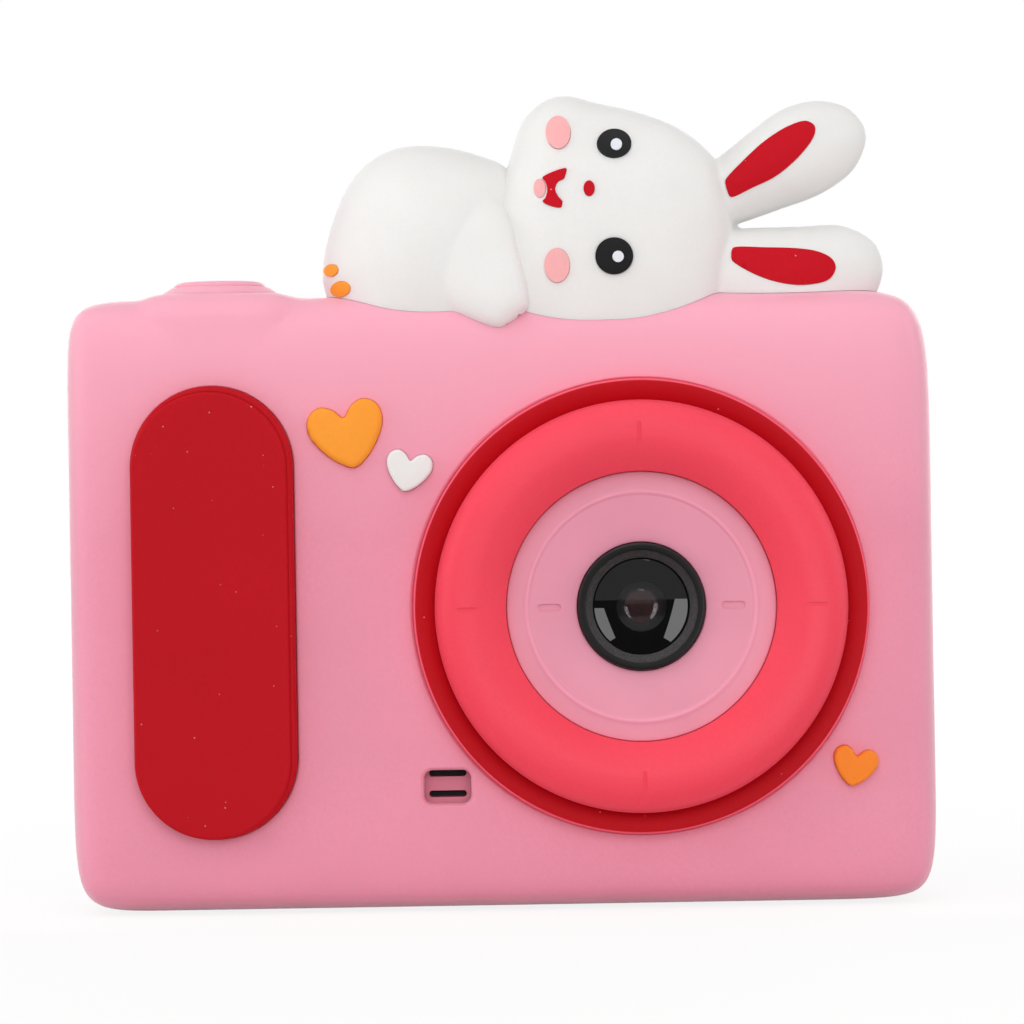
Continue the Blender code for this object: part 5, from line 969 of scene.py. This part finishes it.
class Finish:
    """A procedural material on Object coordinates, built node by node."""

    def __init__(self, name):
        self.material = bpy.data.materials.new(name)
        self.material.use_nodes = True
        self.tree = self.material.node_tree
        self.shader = self.tree.nodes["Principled BSDF"]
        self.place = self.tree.nodes.new("ShaderNodeTexCoord").outputs["Object"]

    def set(self, **values):
        for name, value in values.items():
            self.shader.inputs[name.replace("_", " ").title().replace("Ior", "IOR")].default_value = value

    def link(self, start, end):
        self.tree.links.new(start, end)

    def node(self, kind, *inputs, **settings):
        """A node of a kind; each input is an output to link or a value to set."""
        node = self.tree.nodes.new("ShaderNode" + kind)
        for name, value in settings.items():
            setattr(node, name, value)
        for socket, value in zip(node.inputs, inputs):
            if isinstance(value, bpy.types.NodeSocket):
                self.link(value, socket)
            else:
                socket.default_value = value
        return node

    def noise(self, size, detail=3.0, roughness=0.5):
        """Noise with features of about size millimetres."""
        node = self.node("TexNoise", self.place)
        node.inputs["Scale"].default_value = 1.0 / (size * MM)
        node.inputs["Detail"].default_value = detail
        node.inputs["Roughness"].default_value = roughness
        return node.outputs["Fac"]

    def uneven(self, size, low, high, detail=3.0):
        """Noise of about size millimetres that swings between low and high."""
        return self.ramp(self.noise(size, detail), 0.3, 0.7, low, high)

    def cells(self, size):
        """Distance to the nearest of points about size millimetres apart."""
        node = self.node("TexVoronoi", self.place)
        node.inputs["Scale"].default_value = 1.0 / (size * MM)
        return node.outputs["Distance"]

    def radius(self, middle):
        """Distance from an axis that runs front to back through a point across and up."""
        axis = (middle[0] * MM, 0.0, middle[1] * MM)
        away = self.node("VectorMath", self.place, axis, operation="SUBTRACT")
        flat = self.node("VectorMath", away.outputs[0], (1.0, 0.0, 1.0), operation="MULTIPLY")
        return self.length(flat.outputs[0])

    def band(self, inner, outer, soft):
        """One between two radii about the lens, fading over soft at each."""
        radius = self.radius((LENS_X, LENS_Z))
        rising = self.ramp(radius, inner * MM, (inner + soft) * MM, 0.0, 1.0)
        return self.product(rising, self.ramp(radius, (outer - soft) * MM, outer * MM, 1.0, 0.0))

    def height(self):
        return self.node("SeparateXYZ", self.place).outputs["Z"]

    def length(self, vector):
        return self.node("VectorMath", vector, operation="LENGTH").outputs["Value"]

    def ramp(self, value, low, high, start, end):
        """A value between low and high, brought to between start and end."""
        return self.node("MapRange", value, low, high, start, end).outputs["Result"]

    def mix(self, factor, first, second):
        """A colour between two, each a list of linear values or an output."""
        node = self.node("Mix", data_type="RGBA")
        self.link(factor, node.inputs["Factor"])
        for name, colour in (("A", first), ("B", second)):
            socket = [s for s in node.inputs if s.name == name and s.type == "RGBA"][0]
            if isinstance(colour, list):
                socket.default_value = (*colour, 1.0)
            else:
                self.link(colour, socket)
        return [s for s in node.outputs if s.type == "RGBA"][0]

    def product(self, first, second):
        return self.node("Math", first, second, operation="MULTIPLY").outputs[0]

    def bump(self, height, depth):
        node = self.node("Bump")
        node.inputs["Distance"].default_value = depth * MM
        self.link(height, node.inputs["Height"])
        self.link(node.outputs["Normal"], self.shader.inputs["Normal"])

    def colour(self, output):
        self.link(output, self.shader.inputs["Base Color"])

    def roughness(self, output):
        self.link(output, self.shader.inputs["Roughness"])


# Painted top light: the heights in millimetres where the pink turns paler towards the top, and how far it
# goes to the paler pink
PAINTED_LIGHT_LOW, PAINTED_LIGHT_HIGH, PAINTED_LIGHT_SHARE = 40.0, 63.0, 0.95
# Painted highlight on the collar: how far the paler ring reaches either side of its outer edge, and how
# softly it fades
RIM_HIGHLIGHT_WIDTH, RIM_HIGHLIGHT_SOFTNESS = 0.26, 0.1
DUST = (236, 170, 165)


def scaled(colour, share):
    return [min(value * share, 1.0) for value in colour]


def silicone(
    name, colour, rough=0.58, glow=0.12, specks=0.0, grain=0.012, mottle=0.5, gloss=0.2, powder=0.0,
    painted_top_light=None, lip=None,
):
    """Soft silicone: matt, a little see-through, with a powdery grain; dust specks if asked, and if asked a
    painted top light (paler towards the top) and a painted highlight along the collar's lip.
    """
    made = Finish(name)
    base = linear(colour)
    tone = made.mix(made.uneven(14.0, 0.0, 1.0), scaled(base, 0.97), scaled(base, 1.03))
    tone = made.mix(made.uneven(0.35, 0.0, mottle, 2.0), tone, scaled(base, 0.93))
    # Painted light: the colour turns paler towards the top, standing in for light falling from above
    if painted_top_light:
        share = made.ramp(made.height(), PAINTED_LIGHT_LOW * MM, PAINTED_LIGHT_HIGH * MM, 0.0, PAINTED_LIGHT_SHARE)
        tone = made.mix(share, tone, linear(painted_top_light))
    if specks:
        dust = made.ramp(made.cells(1.1), 0.05, 0.085, 1.0, 0.0)
        here = made.ramp(made.noise(2.2, 1.0), 0.55, 0.60, 0.0, specks)
        tone = made.mix(made.product(dust, here), tone, linear(DUST))
    # Painted highlight: a paler ring along the collar's outer lip, standing in for light caught by its
    # rounded edge
    if lip:
        edge = made.band(COLLAR_RADIUS - RIM_HIGHLIGHT_WIDTH, COLLAR_RADIUS + RIM_HIGHLIGHT_WIDTH, RIM_HIGHLIGHT_SOFTNESS)
        tone = made.mix(edge, tone, linear(lip))
    made.colour(tone)
    made.roughness(made.uneven(0.5, rough - 0.05, rough + 0.05))
    made.bump(made.noise(0.3, 4.0, 0.6), grain)
    made.set(subsurface_weight=glow, subsurface_scale=0.0012, specular_ior_level=gloss, sheen_weight=powder)
    made.shader.inputs["Subsurface Radius"].default_value = (1.0, 0.5, 0.4)
    return made.material


def moulded_plastic(name, colour, rough=0.42, grain=0.01):
    """Moulded plastic: a fine spark-eroded texture and a slightly uneven gloss."""
    made = Finish(name)
    base = linear(colour)
    made.colour(made.mix(made.uneven(9.0, 0.0, 1.0), scaled(base, 0.96), scaled(base, 1.03)))
    made.roughness(made.uneven(1.2, rough - 0.05, rough + 0.06))
    made.bump(made.noise(0.35, 2.0, 0.6), grain)
    return made.material


def face_finish(name, colour):
    """The lens face's satin plastic, with a painted highlight along its bead: paler there."""
    made = Finish(name)
    base = linear(colour)
    tone = made.mix(made.uneven(9.0, 0.0, 1.0), scaled(base, 0.97), scaled(base, 1.03))
    # Painted highlight: a paler ring along the bead, standing in for light caught by its edge
    made.colour(made.mix(made.band(11.9, 12.4, 0.15), tone, scaled(base, 1.09)))
    made.roughness(made.uneven(1.2, 0.4, 0.5))
    made.bump(made.noise(0.35, 2.0, 0.6), 0.006)
    return made.material


def brushed_metal(name, colour, rough=0.3):
    """Metal with fine scratches that run one way."""
    made = Finish(name)
    base = linear(colour)
    stretch = made.node("Mapping", made.place)
    stretch.inputs["Scale"].default_value = (1.0, 0.08, 1.0)
    made.place = stretch.outputs["Vector"]
    lines = made.noise(0.12, 2.0)
    made.colour(made.mix(lines, scaled(base, 0.9), scaled(base, 1.05)))
    made.roughness(made.ramp(lines, 0.3, 0.7, rough - 0.08, rough + 0.1))
    made.bump(lines, 0.004)
    made.set(metallic=1.0)
    return made.material


def front_glass(name):
    """The front glass: clear in the middle, over the element, and blackened on its back further out."""
    made = Finish(name)
    radius = made.radius((LENS_X, LENS_Z))
    clear = made.mix(made.noise(3.0), linear((250, 250, 252)), linear((238, 240, 246)))
    inner = made.ramp(radius, 2.6 * MM, 2.7 * MM, 1.0, 0.0)
    made.colour(made.mix(inner, linear((6, 6, 7)), clear))
    middle = made.ramp(radius, 2.7 * MM, 2.8 * MM, 1.0, 0.0)
    made.link(middle, made.shader.inputs["Transmission Weight"])
    made.set(ior=1.7, roughness=0.0)
    return made.material


def coated_element(name):
    """The domed element: a reddish coated middle in a grey ground rim."""
    made = Finish(name)
    radius = made.radius((LENS_X, LENS_Z))
    warm = made.mix(made.noise(1.6), linear((138, 62, 58)), linear((52, 24, 22)))
    made.colour(made.mix(made.ramp(radius, 1.6 * MM, 1.9 * MM, 0.0, 1.0), warm, linear((96, 95, 96))))
    made.roughness(made.uneven(1.2, 0.03, 0.06))
    made.set(ior=1.9)
    return made.material


def barrel_finish(name):
    """Black moulded rim with a finely sparkling matt cone inside it."""
    made = Finish(name)
    cone = made.band(5.1, 5.98, 0.08)
    grit = made.ramp(made.noise(0.16, 2.0, 0.7), 0.35, 0.7, 0.0, 1.0)
    matt = made.mix(grit, linear((44, 43, 44)), linear((92, 90, 91)))
    made.colour(made.mix(cone, linear((15, 14, 15)), matt))
    made.roughness(made.ramp(cone, 0.0, 1.0, 0.4, 0.6))
    made.bump(made.noise(0.2, 2.0), 0.012)
    return made.material


def screen_finish(name):
    """The screen's cover: a black printed border and a dark clear middle."""
    made = Finish(name)
    split = made.node("SeparateXYZ", made.place)
    masks = []
    for axis, middle, half in (("X", SCREEN_X, 18.6), ("Z", MIDDLE, 14.4)):
        place = made.ramp(split.outputs[axis], (middle - half) * MM, (middle + half) * MM, -1.0, 1.0)
        away = made.node("Math", place, operation="ABSOLUTE").outputs[0]
        masks.append(made.ramp(away, 0.99, 1.0, 1.0, 0.0))
    inside = made.product(*masks)
    glow = made.mix(made.noise(12.0), linear((38, 42, 48)), linear((52, 57, 64)))
    made.colour(made.mix(inside, linear((12, 12, 13)), glow))
    made.roughness(made.uneven(2.5, 0.05, 0.1, 4.0))
    made.set(specular_ior_level=0.3)
    return made.material


def circuit_board(name):
    """Solder-masked board with copper tracks showing faintly through it."""
    made = Finish(name)
    tracks = made.node("TexBrick")
    sizes = {"Scale": 1.0, "Mortar Size": 0.0002, "Brick Width": 0.004, "Row Height": 0.0016}
    for socket, number in sizes.items():
        tracks.inputs[socket].default_value = number
    turn = made.node("Mapping", made.place)
    turn.inputs["Rotation"].default_value = (math.pi / 2, 0.0, 0.0)
    made.link(turn.outputs["Vector"], tracks.inputs["Vector"])
    made.colour(made.mix(tracks.outputs["Fac"], linear((22, 84, 50)), linear((52, 122, 70))))
    made.roughness(made.uneven(1.0, 0.3, 0.45))
    made.bump(tracks.outputs["Fac"], 0.02)
    return made.material


def foam_finish(name):
    made = Finish(name)
    cells = made.cells(0.5)
    made.colour(made.mix(cells, linear((40, 40, 42)), linear((74, 74, 77))))
    made.roughness(made.ramp(cells, 0.0, 1.0, 0.85, 0.98))
    made.bump(cells, 0.15)
    return made.material


# The pink sleeve carries a painted top light: its colour turns a paler pink towards its top
pink_silicone = silicone(
    "pink_silicone_skin", (238, 150, 174), rough=0.5, grain=0.006, gloss=0.3, powder=0.25,
    painted_top_light=(248, 170, 191),
)
red_silicone = silicone("red_silicone_skin", (188, 14, 28), specks=0.75, gloss=0.1)
inlay_red_silicone = silicone("red_silicone_inlay", (200, 12, 32), specks=0.75, gloss=0.1)
# The collar's lip colour is a painted highlight: a paler ring along its outer edge
collar_silicone = silicone("red_silicone_collar", (188, 14, 28), specks=0.75, gloss=0.1, lip=(246, 96, 118))
coral_silicone = silicone("coral_silicone_skin", (246, 68, 89), rough=0.52, gloss=0.3)
white_silicone = silicone(
    "white_silicone_skin", (235, 234, 232), grain=0.003, mottle=0.25, gloss=0.1, powder=0.25
)
glint_silicone = silicone("white_silicone_glint", (232, 233, 240))
orange_silicone = silicone("orange_silicone_light", (255, 159, 49))
deep_orange_silicone = silicone("orange_silicone_deep", (254, 139, 37))
cheek_silicone = silicone("cheek_silicone_skin", (249, 178, 179))
black_silicone = silicone("black_silicone_skin", (30, 30, 31), rough=0.5, glow=0.0, grain=0.02)
face_plastic = face_finish("pink_plastic_face", (234, 150, 173))
panel_plastic = moulded_plastic("pink_plastic_panel", (232, 152, 174), grain=0.03)
case_plastic = moulded_plastic("pink_plastic_case", (222, 130, 154))
key_plastic = moulded_plastic("white_plastic_key", (240, 239, 238), rough=0.36)
plug_plastic = moulded_plastic("white_plastic_plug", (238, 236, 230))
black_plastic = moulded_plastic("black_plastic_moulded", (20, 20, 21), rough=0.45, grain=0.002)
barrel_plastic = barrel_finish("black_plastic_barrel")
card_plastic = moulded_plastic("black_plastic_card", (28, 28, 30), rough=0.45)
chip_plastic = moulded_plastic("black_plastic_chip", (34, 34, 36), rough=0.5)
screw_steel = brushed_metal("steel_screw", (176, 176, 180))
port_steel = brushed_metal("steel_port", (190, 190, 194), rough=0.25)
lens_glass = front_glass("glass_front")
coated_glass = coated_element("glass_coated")
screen_glass = screen_finish("glass_screen")
green_board = circuit_board("board_green")
amber_film = moulded_plastic("film_amber", (196, 128, 44), rough=0.3)
silver_foil = brushed_metal("foil_silver", (186, 189, 194), rough=0.35)
red_lead = silicone("rubber_lead", (150, 24, 24), rough=0.45)
grey_foam = foam_finish("foam_grey")

# The solids that stay as they are, inside the case
KEPT = {
    "main_board": green_board,
    "sensor_board": green_board,
    "shutter_board": green_board,
    "main_chip": chip_plastic,
    "lcd_panel": chip_plastic,
    "lcd_foam": grey_foam,
    "battery": silver_foil,
    "battery_plug": plug_plastic,
    "battery_lead": red_lead,
    "speaker": black_plastic,
    "shutter_switch": black_plastic,
    "key_dome_sheet": amber_film,
    "sensor_flex": amber_film,
    "card_socket": port_steel,
}


def dress_solids():
    for name, material in KEPT.items():
        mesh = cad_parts[name].data
        mesh.materials.clear()
        mesh.materials.append(material)


# The studio

WORLD_LEVEL = 0.45
FLOOR_NEAR, FLOOR_FAR, FLOOR_WHITE = 0.12, 0.55, 1.06

# Each soft box's place, aim, size and power
SOFT_BOXES = {
    "key_softbox": ((-0.1, -0.35, 0.62), (0.0, 0.0, 0.05), (0.6, 0.6), 1.2),
    "fill_softbox": ((0.05, -0.95, 0.35), (0.0, 0.0, 0.03), (0.9, 0.5), 3.3),
    "left_softbox": ((-0.8, -0.1, 0.2), (0.0, 0.0, 0.04), (0.6, 0.6), 2.3),
    "right_softbox": ((0.8, -0.1, 0.2), (0.0, 0.0, 0.04), (0.6, 0.6), 1.05),
    "back_softbox": ((0.1, 0.95, 0.2), (0.0, 0.0, 0.03), (1.2, 0.5), 4.0),
}

# The corners of the lit panels that the lens glass mirrors, across and up, and how far in front they stand
LEFT_PANEL = [(-4.5, 10), (0.7, 13.6), (-13, 30.7), (-5.3, 30.7)]
RIGHT_PANEL = [(28.2, 13.3), (39.6, 5.2), (34.6, 35.3), (48.3, 35.3)]
PANEL_Y = -50
STUDIO_ENDS = (-1600, 1600)
FLAG_TOP, STUDIO_TOP = 86, 1300

CAMERA_PLACE, CAMERA_ROLL, CAMERA_LENS = (0.00126, -0.530, 0.0424), 0.0166, 169.8


def seen_directly(tree):
    """One where the camera, a mirror or glass sees a surface, and zero where it only lights others."""
    path = tree.nodes.new("ShaderNodeLightPath")
    seen = path.outputs["Is Camera Ray"]
    for name in ("Is Glossy Ray", "Is Transmission Ray"):
        either = tree.nodes.new("ShaderNodeMath")
        either.operation = "MAXIMUM"
        tree.links.new(seen, either.inputs[0])
        tree.links.new(path.outputs[name], either.inputs[1])
        seen = either.outputs[0]
    return seen


def blend_in(tree, factor, first, second, output):
    blend = tree.nodes.new("ShaderNodeMixShader")
    tree.links.new(factor, blend.inputs[0])
    tree.links.new(first.outputs[0], blend.inputs[1])
    tree.links.new(second.outputs[0], blend.inputs[2])
    tree.links.new(blend.outputs[0], output.inputs["Surface"])


def make_world():
    world = bpy.data.worlds.new("studio")
    bpy.context.scene.world = world
    world.use_nodes = True
    tree = world.node_tree
    lit = tree.nodes["Background"]
    lit.inputs["Color"].default_value = (1.0, 0.99, 0.985, 1.0)
    lit.inputs["Strength"].default_value = WORLD_LEVEL
    white = tree.nodes.new("ShaderNodeBackground")
    white.inputs["Color"].default_value = (1.0, 1.0, 1.0, 1.0)
    blend_in(tree, seen_directly(tree), lit, white, tree.nodes["World Output"])


def make_floor():
    bpy.ops.mesh.primitive_plane_add(size=6.0, location=(0.0, 0.0, -0.0002))
    floor = bpy.context.object
    floor.name = "studio_floor"
    made = Finish("studio_white")
    made.set(base_color=(0.78, 0.78, 0.78, 1.0), roughness=0.9)
    white = made.node("Emission")
    white.inputs["Strength"].default_value = FLOOR_WHITE
    share = made.ramp(made.length(made.place), FLOOR_NEAR, FLOOR_FAR, 0.8, 1.0)
    share = made.product(seen_directly(made.tree), share)
    blend_in(made.tree, share, made.shader, white, made.tree.nodes["Material Output"])
    floor.data.materials.append(made.material)


def soft_box(name, place, aim, size, power):
    light = bpy.data.lights.new(name, "AREA")
    light.shape = "RECTANGLE"
    light.size, light.size_y = size
    light.energy = power
    lamp = bpy.data.objects.new(name, light)
    bpy.context.scene.collection.objects.link(lamp)
    lamp.location = place
    lamp.rotation_euler = (Vector(aim) - Vector(place)).to_track_quat("-Z", "Y").to_euler()
    lamp.visible_camera = False


def reflector(name, corners, brightness):
    """A card that only gloss and glass see: a dark flag or a lit panel, by its brightness."""
    bpy.ops.mesh.primitive_plane_add(size=1.0)
    card = bpy.context.object
    card.name = name
    for vert, corner in zip(card.data.vertices, corners):
        vert.co = [value * MM for value in corner]
    material = bpy.data.materials.new(name)
    material.use_nodes = True
    tree = material.node_tree
    glow = tree.nodes.new("ShaderNodeEmission")
    glow.inputs["Strength"].default_value = brightness
    tree.links.new(glow.outputs[0], tree.nodes["Material Output"].inputs["Surface"])
    card.data.materials.append(material)
    for ray in ("camera", "diffuse", "shadow", "volume_scatter"):
        setattr(card, f"visible_{ray}", False)


def make_reflectors():
    """What the lens glass mirrors: a dark floor and room, and a lit panel at each side."""
    reflector("floor_flag", [(x, y, 0.2) for y in (-1500, -30) for x in STUDIO_ENDS], 0.05)
    reflector("low_flag", [(x, -795, z) for z in (0.4, FLAG_TOP) for x in STUDIO_ENDS], 0.05)
    reflector("dark_room", [(x, -800, z) for z in (FLAG_TOP, STUDIO_TOP) for x in STUDIO_ENDS], 0.3)
    reflector("left_panel", [(x, PANEL_Y, z) for x, z in LEFT_PANEL], 2.2)
    reflector("right_panel", [(x, PANEL_Y, z) for x, z in RIGHT_PANEL], 2.3)


def make_camera():
    lens = bpy.data.cameras.new("photo_camera")
    lens.lens = CAMERA_LENS
    lens.sensor_width = 36.0
    lens.clip_start, lens.clip_end = 0.01, 20.0
    camera = bpy.data.objects.new("photo_camera", lens)
    bpy.context.scene.collection.objects.link(camera)
    camera.location = CAMERA_PLACE
    camera.rotation_euler = (math.pi / 2, CAMERA_ROLL, 0.0)
    bpy.context.scene.camera = camera


make_sleeve()
make_grip()
make_hearts()
make_lens()
make_shutter()
make_front_shell()
make_back_shell()
make_keys()
make_screws()
make_ports()
make_rabbit()
dress_solids()
make_world()
make_floor()
make_reflectors()
for box_name, setting in SOFT_BOXES.items():
    soft_box(box_name, *setting)
make_camera()
bpy.context.scene.view_settings.view_transform = "Standard"
